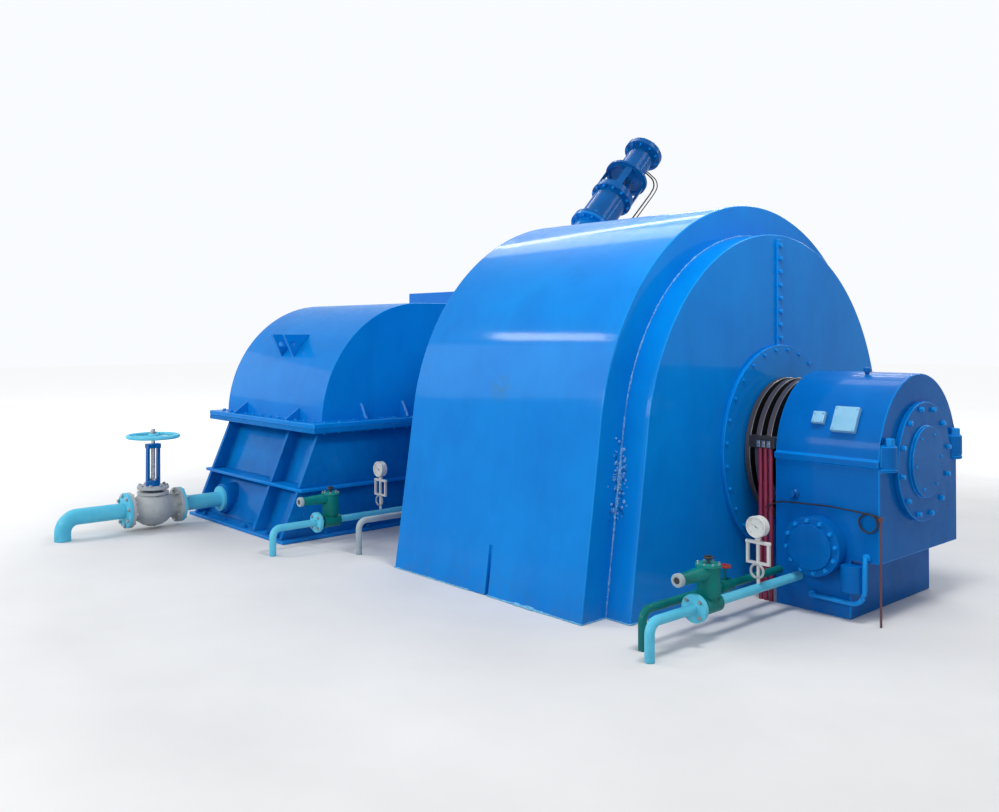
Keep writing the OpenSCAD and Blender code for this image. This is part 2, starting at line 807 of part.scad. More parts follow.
module servo_head() {
    color(blue) difference() {
        union() {
            on_nozzle(lantern_t1) cylinder(r = head_r + head_foot_out, h = servo_flange_t);
            on_nozzle(lantern_t1) cylinder(r = head_r, h = head_l);
            on_nozzle(head_t1) cylinder(r = head_flange_r, h = head_flange_t);
        }
        on_nozzle(lantern_t1 - 1) cylinder(r = rod_r + run_gap, h = head_l - rod_end);
    }
}

rod_below = 250;
rod_above = 120;
collar_up = 80;
collar_h = 60;
collar_out = 38;

module needle_rod() {
    color(steel) on_nozzle(cyl_t1 - rod_below) {
        cylinder(r = rod_r, h = rod_below + lantern_l + rod_above, $fn = 48);
        translate([0, 0, rod_below + collar_up]) cylinder(r = rod_r + collar_out, h = collar_h, $fn = 48);
    }
}

valve_flange_t = 26;
stem_r = 16;
neck_h = 108;
valve_neck_r = 82;
body_out = 24;
ball_out = 10;
boss_edge = 20;
bonnet_flange_r = 125;
bonnet_flange_t = 22;

// The pipe from the casing's boss to the gate valve, with a flange at both ends.
module drain_pipe() {
    y0 = valve_y + valve_half_l;
    color(light_blue) {
        cyl_y(drain_r, drain_x, y0, drain_boss_y, drain_z);
        cyl_y(valve_flange_r, drain_x, y0, y0 + valve_flange_t, drain_z);
        cyl_y(drain_boss_r - boss_edge, drain_x, drain_boss_y - valve_flange_t, drain_boss_y, drain_z);
    }
}

module valve_body() {
    color(grey) difference() {
        union() {
            cyl_y(drain_r + body_out, drain_x, valve_y - valve_half_l, valve_y + valve_half_l, drain_z);
            for (y = [valve_y - valve_half_l, valve_y + valve_half_l - valve_flange_t])
                cyl_y(valve_flange_r, drain_x, y, y + valve_flange_t, drain_z);
            translate([drain_x, valve_y, drain_z]) sphere(r = valve_flange_r + ball_out);
            translate([drain_x, valve_y, drain_z]) cylinder(r = valve_neck_r, h = neck_h + bonnet_flange_t);
            translate([drain_x, valve_y, drain_z + neck_h + bonnet_flange_t])
                cylinder(r = bonnet_flange_r, h = bonnet_flange_t);
        }
        translate([drain_x, valve_y, drain_z]) cylinder(r = stem_r + run_gap, h = 3 * neck_h);
    }
}

bonnet_z = drain_z + neck_h + 2 * bonnet_flange_t;
wheel_over_yoke = 60;
yoke_top = wheel_z - wheel_over_yoke;

gland_r = 56;
gland_h = 70;
arm_y = 44;
arm_w = 40;
arm_t = 20;
yoke_head_w = 68;
yoke_head_t = 36;

module valve_yoke() {
    color(deep_blue) difference() {
        union() {
            translate([drain_x, valve_y, bonnet_z]) cylinder(r = bonnet_flange_r, h = bonnet_flange_t);
            translate([drain_x, valve_y, bonnet_z]) cylinder(r = gland_r, h = gland_h);
            for (side = [-1, 1])
                translate([drain_x - arm_w / 2, valve_y + side * arm_y - arm_t / 2, bonnet_z + bonnet_flange_t])
                    cube([arm_w, arm_t, yoke_top - bonnet_z - bonnet_flange_t]);
            translate([drain_x - yoke_head_w / 2, valve_y - arm_y - arm_t / 2, yoke_top - yoke_head_t])
                cube([yoke_head_w, 2 * arm_y + arm_t, yoke_head_t]);
        }
        translate([drain_x, valve_y, bonnet_z - 1]) cylinder(r = stem_r + run_gap, h = yoke_top);
    }
}

stem_up = 10;
stem_over_wheel = 60;

module valve_stem() {
    color(steel) translate([drain_x, valve_y, drain_z + stem_up])
        cylinder(r = stem_r, h = wheel_z + stem_over_wheel - drain_z - stem_up, $fn = 48);
}

wheel_rim_r = 16;
spoke_count = 5;

module handwheel() {
    color(blue) translate([drain_x, valve_y, wheel_z]) difference() {
        union() {
            rotate_extrude() translate([wheel_r - wheel_rim_r, 0]) circle(wheel_rim_r, $fn = 32);
            cylinder(r = 36, h = 44, center = true);
            for (i = [0 : spoke_count - 1]) rotate([0, 0, i * 360 / spoke_count])
                translate([20, 0, 0]) rotate([0, 90, 0]) cylinder(r = 10, h = wheel_r - wheel_rim_r - 20, $fn = 24);
        }
        cylinder(r = stem_r + fit_gap, h = 60, center = true);
    }
}

drain_bend_r = 110;

module drain_elbow() {
    y1 = valve_y - valve_half_l;
    color(light_blue) {
        cyl_y(valve_flange_r, drain_x, y1 - valve_flange_t, y1, drain_z);
        floor_pipe(drain_r, drain_x, y1 - valve_flange_t, drain_end_y, drain_z, drain_bend_r);
    }
}

near_x = ped_mid + cool_near_x;
far_x = -ped_mid + cool_far_x;
valve_len = 70;
disc_t = 28;

// The cooling pipe of one bearing, in two lengths on both sides of its control valve.
module cooling_pipe(x, out) {
    y = -valve_out - out;
    color(light_blue) {
        cyl_y(cool_r, x, y + valve_len, -ped_half_w, cool_z);
        floor_pipe(cool_r, x, y - valve_len, -cool_end - out, cool_z, cool_bend_r);
        cyl_y(disc_r, x, -disc_out - out - disc_t / 2, -disc_out - out + disc_t / 2, cool_z);
    }
}

valve_in_r = 48;
bonnet_rise = 45;
lid_t = 14;
lid_out = 7;
branch_r = 42;
branch_end_r = 29;
branch_l = 245;
branch_up = 165;
branch_ring_r = 34;
branch_ring_l = 26;

// The control valve: a body in the pipe, a round bonnet and a branch to the side.
module control_valve(x, out) {
    y = -valve_out - out;
    color(green) {
        cyl_y(valve_in_r, x, y - valve_len, y + valve_len, cool_z);
        translate([x, y, cool_z]) cylinder(r = valve_in_r, h = bonnet_rise);
        translate([x, y, cool_z + bonnet_rise]) cylinder(r = bonnet_r, h = bonnet_h - bonnet_rise);
        translate([x, y, cool_z + bonnet_h]) cylinder(r = bonnet_r + lid_out, h = lid_t);
        translate([x, y, cool_z + branch_up]) rotate([90, 0, 0])
            cylinder(r1 = branch_r, r2 = branch_end_r, h = branch_l);
        translate([x, y - branch_l, cool_z + branch_up]) rotate([90, 0, 0])
            cylinder(r = branch_ring_r, h = branch_ring_l);
    }
}

gauge_depth = 40;
capillary_r = 9;
gauge_sunk = 5;
frame_w = 140;
frame_h = 126;
frame_top = 80;
frame_bar = 14;
frame_t = 16;

// The pressure gauge over its sight frame, on a thin pipe from the cooling pipe.
module gauge(x, out) {
    y = -gauge_out - out;
    gauge_z = cool_z + gauge_up;
    frame_z = gauge_z - frame_top - frame_h;
    window = (frame_w - 3 * frame_bar) / 2;
    color(white) {
        cyl_y(gauge_r, x, y - gauge_depth / 2, y + gauge_depth / 2, gauge_z);
        translate([x, y, cool_z + cool_r + fit_gap])
            cylinder(r = capillary_r, h = gauge_up - cool_r - gauge_r + gauge_sunk);
        translate([x - frame_w / 2, y - frame_t / 2, frame_z]) difference() {
            cube([frame_w, frame_t, frame_h]);
            for (dx = [frame_bar, 2 * frame_bar + window])
                translate([dx, -1, frame_bar]) cube([window, frame_t + 2, frame_h - 2 * frame_bar]);
        }
    }
}

stop_r = 36;
stop_l = 90;
stop_stem_h = 100;
stop_wheel_r = 34;
stop_wheel_t = 12;

// The return pipe of one bearing, with its small stop valve.
module return_pipe(x, y_end, z) {
    color(green) {
        floor_pipe(return_r, x, -ped_half_w, y_end, z, cool_bend_r);
        cyl_y(stop_r, x, -stop_out - stop_l / 2, -stop_out + stop_l / 2, z);
        translate([x, -stop_out, z]) cylinder(r = capillary_r, h = stop_stem_h + stop_wheel_t);
        translate([x, -stop_out, z + stop_stem_h]) cylinder(r = stop_wheel_r, h = stop_wheel_t);
    }
}

generator_hood();
end_drum(1);  // drum_near
end_drum(-1);  // drum_far
end_cover(1);  // end_cover_near
end_cover(-1);  // end_cover_far
main_shaft();
slip_rings();
brush_gear();
field_leads();
pedestal_near();
pedestal_far();
cap_near();
cap_far();
cap_covers();
bearing_end_near();
bearing_end_far();
cooler(1);  // cooler_near
cooler(-1);  // cooler_far
turbine_casing();
casing_ribs();
casing_shelf();
turbine_hood();
hood_gussets();
hood_lugs();
nozzle_seat();
nozzle_body();
inlet_flange();
servo_cylinder();
servo_lantern();
servo_head();
needle_rod();
drain_pipe();
valve_body();
valve_yoke();
valve_stem();
handwheel();
drain_elbow();
cooling_pipe(near_x, 0);  // cooling_pipe_near
cooling_pipe(far_x, far_out);  // cooling_pipe_far
control_valve(near_x, 0);  // control_valve_near
control_valve(far_x, far_out);  // control_valve_far
gauge(near_x, 0);  // gauge_near
gauge(far_x, far_out);  // gauge_far
return_pipe(ped_x0 + return_r, -return_near_end, return_near_z);  // return_pipe_near
return_pipe(-ped_x0 - return_r, -return_far_end, return_far_z);  // return_pipe_far
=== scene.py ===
"""Horizontal hydroelectric generating set, dressed over its CAD frame. Lengths are in metres.

+X runs along the shaft from the turbine to the outer bearing, +Y to the water inlet, +Z up.
"""
import json
import math

import bmesh
import bpy
import numpy as np
from mathutils import Matrix, Vector


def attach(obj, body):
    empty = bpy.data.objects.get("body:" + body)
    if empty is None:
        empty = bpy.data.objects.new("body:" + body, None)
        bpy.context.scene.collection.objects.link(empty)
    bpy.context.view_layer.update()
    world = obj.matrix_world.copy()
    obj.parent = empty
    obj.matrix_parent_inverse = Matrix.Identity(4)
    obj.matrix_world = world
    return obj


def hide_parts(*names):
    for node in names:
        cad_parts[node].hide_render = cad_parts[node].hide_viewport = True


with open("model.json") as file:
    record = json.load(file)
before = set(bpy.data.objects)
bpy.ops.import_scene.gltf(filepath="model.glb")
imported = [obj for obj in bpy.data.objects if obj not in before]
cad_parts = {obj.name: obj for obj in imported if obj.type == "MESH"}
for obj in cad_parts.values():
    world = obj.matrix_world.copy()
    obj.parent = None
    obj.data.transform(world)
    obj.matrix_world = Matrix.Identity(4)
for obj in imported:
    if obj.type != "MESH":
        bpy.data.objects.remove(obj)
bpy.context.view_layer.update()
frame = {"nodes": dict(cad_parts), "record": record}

# directions
ALONG, BACK, FRONT, UP, DOWN = [1, 0, 0], [0, 1, 0], [0, -1, 0], [0, 0, 1], [0, 0, -1]

# places of joints and mounts, from the frame's record
record = frame["record"]
joint_at = {joint["name"]: joint.get("pos_m") for joint in record["behaviour"]["joints"]}
mount_at = {mount["name"]: mount["pos_m"] for mount in record["mounts"]}
SHAFT_Z = joint_at["rotor_spin"][2]
DRAIN_X, VALVE_Y, WHEEL_Z = joint_at["handwheel_turn"]
TURB_MID, INLET_Y, INLET_Z = mount_at["water_inlet"]

# generator: half lengths and half widths at the floor of the hood and its end drums, the drums' radius,
# how far the arches' sides lean, and the faces of the end covers and of the seam strip over them
HOOD_END, HOOD_FOOT = 0.832, 1.712
DRUM_END, DRUM_FOOT, DRUM_R = 1.002, 1.512, 1.364
ARCH_LEAN = math.radians(8.7)
COVER_X, SEAM_X = 1.024, 1.014

# bearings: middle, outer face and half width of the housing
PED_MID, PED_X1, PED_HALF = 1.575, 1.88, 0.5

# turbine: ends of the hood, lower casing with its ribs and shelf, top and bottom of the joint flange
TURB_X0, TURB_X1 = -3.48, -1.95
CASING_X0, CASING_FOOT, CASING_LEAN = -3.41, 1.82, 0.35
RIB_X, RIB_T = (CASING_X0, -2.406, -1.986), 0.036
SHELF_Z0, SHELF_Z1 = 0.364, 0.4
FLANGE_Z0, FLANGE_Z1 = 0.812, SHAFT_Z + 0.038
GUSSET_X, GUSSET_Y = 0.425, (0.78, 1.2)

# nozzle: its axis, its start, and the distances along it where the seat and the servomotor begin and
# where the servomotor's cylinder, its lantern and its head end
JET = np.array([0.0, math.sqrt(0.5), math.sqrt(0.5)])
JET_UP = np.array([0.0, -math.sqrt(0.5), math.sqrt(0.5)])
JET_START = np.array([TURB_MID, 0.3012, 0.5488])
SEAT_T, SERVO_T, CYL_T1, LANTERN_T1, HEAD_T1 = 1.555, 3.1196, 3.6196, 3.9946, 4.3846

# pipes: the drain's height, then the two cooling groups' places along the shaft, their height, how far
# out the far one stands from the near one, and where control valve, disc and gauge stand on the near one
DRAIN_Z = 0.172
NEAR_X, FAR_X, COOL_Z, FAR_OUT = 1.42, -1.65, 0.19, 0.285
CONTROL_Y, DISC_Y, GAUGE_Y = -1.4, -1.52, -0.935

rng = np.random.default_rng(7)


def into_scene(name, data):
    """New object at the origin that shows the given mesh, lamp or camera."""
    made = bpy.data.objects.new(name, data)
    bpy.context.scene.collection.objects.link(made)
    return made


# camera, as the photo was taken
def make_camera():
    """Stands where the photograph was taken: its place, turns, lens and shift come from a fit to the
    picture's straight edges."""
    yaw, pitch, roll = math.radians(39.73), math.radians(0.421), math.radians(-0.1)
    ahead = Vector((-math.cos(yaw) * math.cos(pitch), math.sin(yaw) * math.cos(pitch), math.sin(pitch)))
    right = Vector((math.sin(yaw), math.cos(yaw), 0))
    up = right.cross(ahead)
    lens = bpy.data.cameras.new("camera")
    lens.sensor_width = 36
    lens.lens = 34.17
    lens.shift_x = 0.0676
    lens.shift_y = -0.0824
    camera = into_scene("camera", lens)
    place = Matrix((right, up, -ahead)).transposed().to_4x4()
    place.translation = Vector((4.274, -5.622, 1.600))
    camera.matrix_world = place @ Matrix.Rotation(roll, 4, "Z")
    bpy.context.scene.camera = camera


# materials
class Nodes:
    """A short way to add and join shader nodes."""

    def __init__(self, name):
        self.material = bpy.data.materials.new(name)
        self.material.use_nodes = True
        self.tree = self.material.node_tree
        self.shader = self.tree.nodes["Principled BSDF"]
        self.coords = self.tree.nodes.new("ShaderNodeTexCoord")

    def add(self, kind, **values):
        """New node of a kind, with its settings."""
        made = self.tree.nodes.new(kind)
        for key, value in values.items():
            setattr(made, key, value)
        return made

    def join(self, a, b):
        """Links an output to an input."""
        self.tree.links.new(a, b)

    def give(self, socket, value):
        """Sets a socket to a number or a colour, or joins another node's output to it."""
        if isinstance(value, bpy.types.NodeSocket):
            self.join(value, socket)
        else:
            socket.default_value = (*value, 1) if isinstance(value, tuple) else value

    def shade(self, name, value):
        """Gives a value to the shader's own socket of that name."""
        self.give(self.shader.inputs[name], value)

    def noise(self, scale, detail=3, rough=0.6, stretch=None):
        """Cloudy noise over the object's own coordinates, stretched by a Mapping where wanted."""
        made = self.add("ShaderNodeTexNoise")
        made.inputs["Scale"].default_value = scale
        made.inputs["Detail"].default_value = detail
        made.inputs["Roughness"].default_value = rough
        source = self.coords.outputs["Object"]
        if stretch:
            turn = self.add("ShaderNodeMapping")
            turn.inputs["Scale"].default_value = stretch
            self.join(source, turn.inputs["Vector"])
            source = turn.outputs["Vector"]
        self.join(source, made.inputs["Vector"])
        return made.outputs["Fac"]

    def span(self, value, low, high, to_low=0.0, to_high=1.0):
        """Rescales value from low..high to to_low..to_high, held at the ends."""
        made = self.add("ShaderNodeMapRange")
        made.inputs["From Min"].default_value = low
        made.inputs["From Max"].default_value = high
        made.inputs["To Min"].default_value = to_low
        made.inputs["To Max"].default_value = to_high
        self.join(value, made.inputs["Value"])
        return made.outputs["Result"]

    def math(self, kind, a, b):
        """Math node for two values, such as ADD."""
        made = self.add("ShaderNodeMath", operation=kind)
        for socket, value in zip(made.inputs, (a, b)):
            self.give(socket, value)
        return made.outputs[0]

    def mix(self, amount, a, b):
        """Colour a where amount is 0 and b where it is 1."""
        made = self.add("ShaderNodeMix", data_type="RGBA")
        for place, value in ((0, amount), (6, a), (7, b)):
            self.give(made.inputs[place], value)
        return made.outputs[2]

    def height(self):
        """Height over the floor."""
        made = self.add("ShaderNodeSeparateXYZ")
        self.join(self.coords.outputs["Object"], made.inputs[0])
        return made.outputs["Z"]

    def bump(self, value, strength, distance):
        """Fine relief from a value."""
        made = self.add("ShaderNodeBump")
        made.inputs["Strength"].default_value = strength
        made.inputs["Distance"].default_value = distance
        self.join(value, made.inputs["Height"])
        self.shade("Normal", made.outputs["Normal"])


def paint(name, colour, deep, rough=0.36, dust=0.16, dust_top=0.3, coat=0.2, peel=0.3, smudge=None,
          gloss=0.02):
    """Brushed and rolled paint: cloudy tone, orange-peel bump, uneven gloss and dust that thins
    out with height over the floor. A smudge is a place, a size and the colour of the rubbed paint there."""
    n = Nodes(name)
    cloud = n.span(n.noise(2.3, 5, 0.62), 0.34, 0.66)
    tone = n.mix(cloud, deep, colour)
    streak = n.span(n.noise(5.0, 4, 0.7, (1.0, 1.0, 0.16)), 0.5, 0.78, 0.0, 0.22)
    tone = n.mix(streak, tone, tuple(0.55 * c for c in deep))
    near_floor = n.span(n.height(), 0.0, dust_top, 1.0, 0.0)
    near_floor = n.math("MULTIPLY", near_floor, near_floor)
    veil = n.math("MULTIPLY", near_floor, n.span(n.noise(11.0, 6, 0.7), 0.42, 0.68, 0.0, dust * 2.0))
    grit = n.math("MULTIPLY", near_floor, n.span(n.noise(140.0, 2, 0.5), 0.6, 0.7, 0.0, 0.35))
    tone = n.mix(n.math("MAXIMUM", veil, grit), tone, (0.08, 0.14, 0.22))
    if smudge:
        place, size, colour_there = smudge
        spot = n.add("ShaderNodeVectorMath", operation="DISTANCE")
        n.join(n.coords.outputs["Object"], spot.inputs[0])
        spot.inputs[1].default_value = place
        near = n.span(spot.outputs["Value"], size * 0.2, size, 1.0, 0.0)
        patchy = n.span(n.noise(26.0, 4, 0.7), 0.4, 0.62, 0.0, 0.8)
        tone = n.mix(n.math("MULTIPLY", near, patchy), tone, colour_there)
    n.shade("Base Color", tone)
    uneven = n.span(n.noise(14.0, 4, 0.65), 0.3, 0.7, rough - 0.07, rough + 0.12)
    n.shade("Roughness", n.math("ADD", uneven, n.math("MULTIPLY", veil, 0.5)))
    fine = n.math("ADD", n.math("MULTIPLY", n.noise(48.0, 1, 0.5), 0.3), n.noise(9.0, 2, 0.5))
    n.bump(fine, peel, 0.0012)
    n.shade("Coat Weight", coat)
    n.shade("Coat Roughness", 0.09)
    n.shade("Specular IOR Level", gloss)
    return n.material


def metal(name, colour, rough, turned=None, metallic=1.0, dirt=0.25, rim=None):
    """Bare metal: fine tool marks square to the direction of turning, and darker oily patches. With
    rim, a colour that the metal takes further than a given distance from the shaft's axis."""
    n = Nodes(name)
    patch = n.span(n.noise(11.0, 5, 0.7), 0.45, 0.72, 0.0, dirt)
    marks = n.noise(40.0, 3, 0.6, turned or (1.0, 1.0, 1.0))
    tone = n.mix(patch, colour, tuple(0.3 * c for c in colour))
    tone = n.mix(n.span(marks, 0.35, 0.65, 0.0, 0.3), tone, tuple(0.7 * c for c in colour))
    if rim:
        radius, rim_colour = rim
        spot = n.add("ShaderNodeMapping")
        spot.inputs["Location"].default_value = (0, 0, -SHAFT_Z)
        spot.inputs["Scale"].default_value = (0, 1, 1)
        n.join(n.coords.outputs["Object"], spot.inputs["Vector"])
        far = n.add("ShaderNodeVectorMath", operation="LENGTH")
        n.join(spot.outputs["Vector"], far.inputs[0])
        worn = n.mix(n.span(marks, 0.35, 0.65, 0.0, 0.5), rim_colour, tuple(0.5 * c for c in rim_colour))
        tone = n.mix(n.span(far.outputs["Value"], radius - 0.002, radius), tone, worn)
    n.shade("Base Color", tone)
    n.shade("Roughness", n.span(marks, 0.3, 0.7, rough - 0.08, rough + 0.12))
    n.bump(marks, 0.25, 0.0006)
    n.shade("Metallic", metallic)
    return n.material


def sealant(name, low, high):
    """Rough filler that was smeared along a joint, paler on its lumps."""
    n = Nodes(name)
    lumps = n.noise(55.0, 5, 0.7)
    n.shade("Base Color", n.mix(n.span(lumps, 0.4, 0.62), low, high))
    n.shade("Roughness", 0.85)
    n.bump(lumps, 0.9, 0.004)
    return n.material


def rubber(name, colour, rough):
    """Smooth cable sheath or seal, a little dusty."""
    n = Nodes(name)
    cloud = n.span(n.noise(30.0, 4, 0.6), 0.4, 0.7, 0.0, 0.35)
    n.shade("Base Color", n.mix(cloud, colour, tuple(0.6 * c + 0.03 for c in colour)))
    n.shade("Roughness", n.span(n.noise(60.0, 3, 0.6), 0.3, 0.7, rough - 0.1, rough + 0.15))
    n.bump(n.noise(200.0, 2, 0.5), 0.2, 0.0004)
    return n.material


def glass(name):
    """The gauge's clear front: thin, so it is glossy and nearly see-through, with a film of dust."""
    n = Nodes(name)
    n.shade("Base Color", (0.9, 0.95, 0.95))
    n.shade("Roughness", n.span(n.noise(40.0, 3, 0.6), 0.4, 0.7, 0.03, 0.14))
    n.shade("Alpha", 0.16)
    n.shade("Specular IOR Level", 0.7)
    return n.material


AZURE, AZURE_DEEP = (0.001, 0.215, 0.66), (0.001, 0.18, 0.6)
blue = paint("azure_paint", AZURE, AZURE_DEEP)
hood_paint = paint("hood_paint", AZURE, AZURE_DEEP, smudge=((0.0, -1.51, 1.24), 0.11, (0.03, 0.16, 0.34)))
# Lighter, glossier azure for rounded edges, bolts and the oil return loop: partly worn paint, partly a
# painted highlight.
blue_sheen_and_wear = paint("azure_paint_sheen_and_wear", (0.006, 0.27, 0.74), (0.003, 0.22, 0.66), rough=0.26)
bearing_blue = paint("bearing_paint", (0.001, 0.137, 0.47), (0.001, 0.107, 0.4), rough=0.34, coat=0.12)
blue_low = paint("deep_paint", (0.001, 0.18, 0.53), (0.001, 0.12, 0.43), dust=0.15, dust_top=0.15, coat=0.1)
blue_dark = paint("casting_paint", (0.002, 0.13, 0.42), (0.002, 0.085, 0.32), rough=0.32)
sky = paint("pipe_paint", (0.14, 0.58, 0.76), (0.08, 0.48, 0.7), rough=0.32, dust=0.15)
green = paint("valve_green", (0.004, 0.2, 0.19), (0.002, 0.12, 0.11), rough=0.34, dust=0.15)
grey = paint("valve_grey", (0.5, 0.53, 0.54), (0.33, 0.36, 0.38), rough=0.34, dust=0.45)
green_light = paint("valve_green_lid", (0.02, 0.28, 0.26), (0.01, 0.19, 0.18), rough=0.3, dust=0.1)
pale = paint("pale_pipe", (0.4, 0.47, 0.5), (0.28, 0.35, 0.4), rough=0.36, dust=0.3)
# Pale colour of the caps' cover plates and their screws: a painted reflection of bright windows.
plate_painted_reflection = paint("plate_painted_reflection", (0.3, 0.55, 0.72), (0.16, 0.42, 0.64), rough=0.3, dust=0.0)
conduit_red = rubber("conduit_red", (0.1, 0.035, 0.05), 0.5)
white = paint("gauge_white", (0.72, 0.73, 0.71), (0.6, 0.61, 0.6), rough=0.3, dust=0.1, peel=0.1)
red_paint = paint("wheel_red", (0.42, 0.03, 0.03), (0.3, 0.02, 0.02), rough=0.35)
black = rubber("black_trim", (0.012, 0.012, 0.014), 0.45)
lead_red = rubber("lead_red", (0.24, 0.015, 0.055), 0.4)
steel = metal("shaft_steel", (0.5, 0.51, 0.52), 0.26, (0.15, 1.0, 1.0))
zinc = metal("bolt_zinc", (0.42, 0.44, 0.46), 0.36, dirt=0.5)
ring_dark = metal("ring_iron", (0.028, 0.028, 0.03), 0.42, (3.0, 0.3, 0.3), 0.7, 0.4,
                  rim=(0.442, (0.15, 0.125, 0.125)))
ring_edge = metal("ring_edge", (0.4, 0.41, 0.42), 0.3, (3.0, 0.3, 0.3))
filler = sealant("joint_filler", (0.01, 0.2, 0.6), (0.22, 0.43, 0.66))
filler_blue = sealant("foot_filler", (0.05, 0.3, 0.6), (0.2, 0.5, 0.7))
clear = glass("gauge_glass")
dial_white = paint("dial_white", (0.78, 0.78, 0.75), (0.72, 0.72, 0.7), rough=0.4, dust=0.0, coat=0.0,
                   peel=0.0)

# finish and width of the rounded edges of each CAD piece; without a width the piece isn't rounded
DRESS = [
    (hood_paint, 0.007, "generator_hood"), (blue, 0.007, "nozzle_seat"), (blue, 0.005, "nozzle_body"),
    (blue, 0.006, "drum_near drum_far turbine_hood"), (blue, 0.004, "casing_shelf inlet_flange"),
    (blue, 0.003, "end_cover_near end_cover_far hood_gussets hood_lugs"),
    (bearing_blue, 0.007, "pedestal_near pedestal_far cap_near cap_far"),
    (bearing_blue, 0.006, "cooler_near cooler_far"), (plate_painted_reflection, 0.004, "cap_covers"),
    (bearing_blue, 0.005, "bearing_end_near bearing_end_far"),
    (blue_low, 0.006, "turbine_casing"), (blue_low, 0.004, "casing_ribs"),
    (blue_dark, 0.004, "servo_cylinder servo_lantern servo_head valve_yoke"),
    (steel, 0.004, "main_shaft"), (steel, 0.002, "needle_rod valve_stem"),
    (ring_dark, 0.0035, "slip_rings"), (black, 0.004, "brush_gear"), (lead_red, None, "field_leads"),
    (sky, 0.003, "drain_pipe drain_elbow cooling_pipe_near cooling_pipe_far"), (sky, None, "handwheel"),
    (grey, None, "valve_body"), (green, 0.004, "control_valve_near control_valve_far"),
    (green, 0.003, "return_pipe_near"), (pale, 0.003, "return_pipe_far"),
    (white, 0.002, "gauge_near gauge_far"),
]
FINISH = {node: material for material, _, nodes in DRESS for node in nodes.split()}
# Lighter finish of the rounded edges: on the azure, hood and bearing paints partly wear and partly a painted
# highlight, on the slip rings worn metal.
EDGE = {blue: blue_sheen_and_wear, hood_paint: blue_sheen_and_wear, bearing_blue: blue, ring_dark: ring_edge}
body_of_node = {node: body for body, nodes in record["behaviour"]["bodies"].items() for node in nodes}


# surfaces
def grid_faces(rows, columns, wrap_rows=False):
    """Quads of a rows by columns grid of points, joined round along its columns, and along its rows
    where they wrap."""
    i = np.arange(rows if wrap_rows else rows - 1)[:, None]
    j = np.arange(columns)[None, :]
    i2, j2 = (i + 1) % rows, (j + 1) % columns
    corners = [i * columns + j, i * columns + j2, i2 * columns + j2, i2 * columns + j]
    return np.stack(corners, axis=-1).reshape(-1, 4)


def finish_mesh(name, parts, material, body="set", sharp=35):
    """Puts parts, each points and faces, in one mesh, merges doubles, turns faces outwards and hangs it
    on a body. Edges that turn by sharp degrees or more stay crisp."""
    points, faces = together(parts)
    mesh = bpy.data.meshes.new(name)
    mesh.from_pydata(points.astype(float).tolist(), [], faces.tolist())
    bm = bmesh.new()
    bm.from_mesh(mesh)
    bmesh.ops.remove_doubles(bm, verts=bm.verts, dist=1e-6)
    bmesh.ops.dissolve_degenerate(bm, dist=1e-7, edges=bm.edges)
    bmesh.ops.recalc_face_normals(bm, faces=bm.faces)
    limit = math.radians(sharp)
    for face in bm.faces:
        face.smooth = True
    for edge in bm.edges:
        edge.smooth = len(edge.link_faces) == 2 and edge.calc_face_angle(0.0) < limit
    bm.to_mesh(mesh)
    bm.free()
    made = into_scene(name, mesh)
    mesh.materials.append(material)
    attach(made, body)
    return made


def frame_of(axis):
    """Two unit vectors square to axis and to each other."""
    axis = np.asarray(axis, float) / np.linalg.norm(axis)
    side = np.cross(UP if abs(axis[2]) < 0.9 else ALONG, axis)
    side /= np.linalg.norm(side)
    return side, np.cross(axis, side), axis


def turned(profile, centre, axis, steps=48):
    """Surface of revolution: each (radius, distance along axis) of the profile is carried round axis."""
    u, v, w = frame_of(axis)
    profile = np.asarray(profile, float)
    angle = np.linspace(0, 2 * np.pi, steps, endpoint=False)
    ring = np.cos(angle)[:, None] * u + np.sin(angle)[:, None] * v
    points = np.asarray(centre) + profile[:, 0, None, None] * ring + profile[:, 1, None, None] * w
    return points.reshape(-1, 3), grid_faces(len(profile), steps)


def carried(path, radius, steps=16, flat=None, closed=False):
    """Tube: a circle of the given radius (one number, or one for each point) carried along a path,
    square to its direction at each point. Its ends run to a point, so that it is closed. Flat is a
    direction that the path never takes, and the circles are turned by it."""
    path = np.asarray(path, float)
    if closed:
        ahead = np.roll(path, -1, 0) - np.roll(path, 1, 0)
    else:
        ahead = np.gradient(path, axis=0)
    ahead /= np.linalg.norm(ahead, axis=1)[:, None]
    flat = np.asarray(flat if flat is not None else [0.31, 0.17, 0.93], float)
    side = np.cross(ahead, flat)
    side /= np.linalg.norm(side, axis=1)[:, None]
    top = np.cross(side, ahead)
    radius = np.broadcast_to(np.asarray(radius, float), (len(path),))
    angle = np.linspace(0, 2 * np.pi, steps, endpoint=False)
    ring = np.cos(angle)[None, :, None] * side[:, None] + np.sin(angle)[None, :, None] * top[:, None]
    points = path[:, None] + radius[:, None, None] * ring
    if not closed:
        first = np.repeat(path[:1, None], steps, 1)
        last = np.repeat(path[-1:, None], steps, 1)
        points = np.concatenate([first, points, last])
    return points.reshape(-1, 3), grid_faces(len(points), steps, closed)


def toward(here, there, reach):
    """Point at reach from here to there, and short of the middle."""
    run = there - here
    length = np.linalg.norm(run)
    return here + run / length * min(reach, length * 0.49)


def bent(corners, bend, steps=7):
    """Path through straight runs whose corners are rounded: each corner is cut back by bend and the
    gap is filled with a quadratic curve."""
    corners = np.asarray(corners, float)
    out = [corners[:1]]
    t = np.linspace(0, 1, steps)[:, None]
    for before, here, after in zip(corners[:-2], corners[1:-1], corners[2:]):
        back, on = toward(here, before, bend), toward(here, after, bend)
        out.append((1 - t) ** 2 * back + 2 * t * (1 - t) * here + t ** 2 * on)
    out.append(corners[-1:])
    return np.concatenate(out)


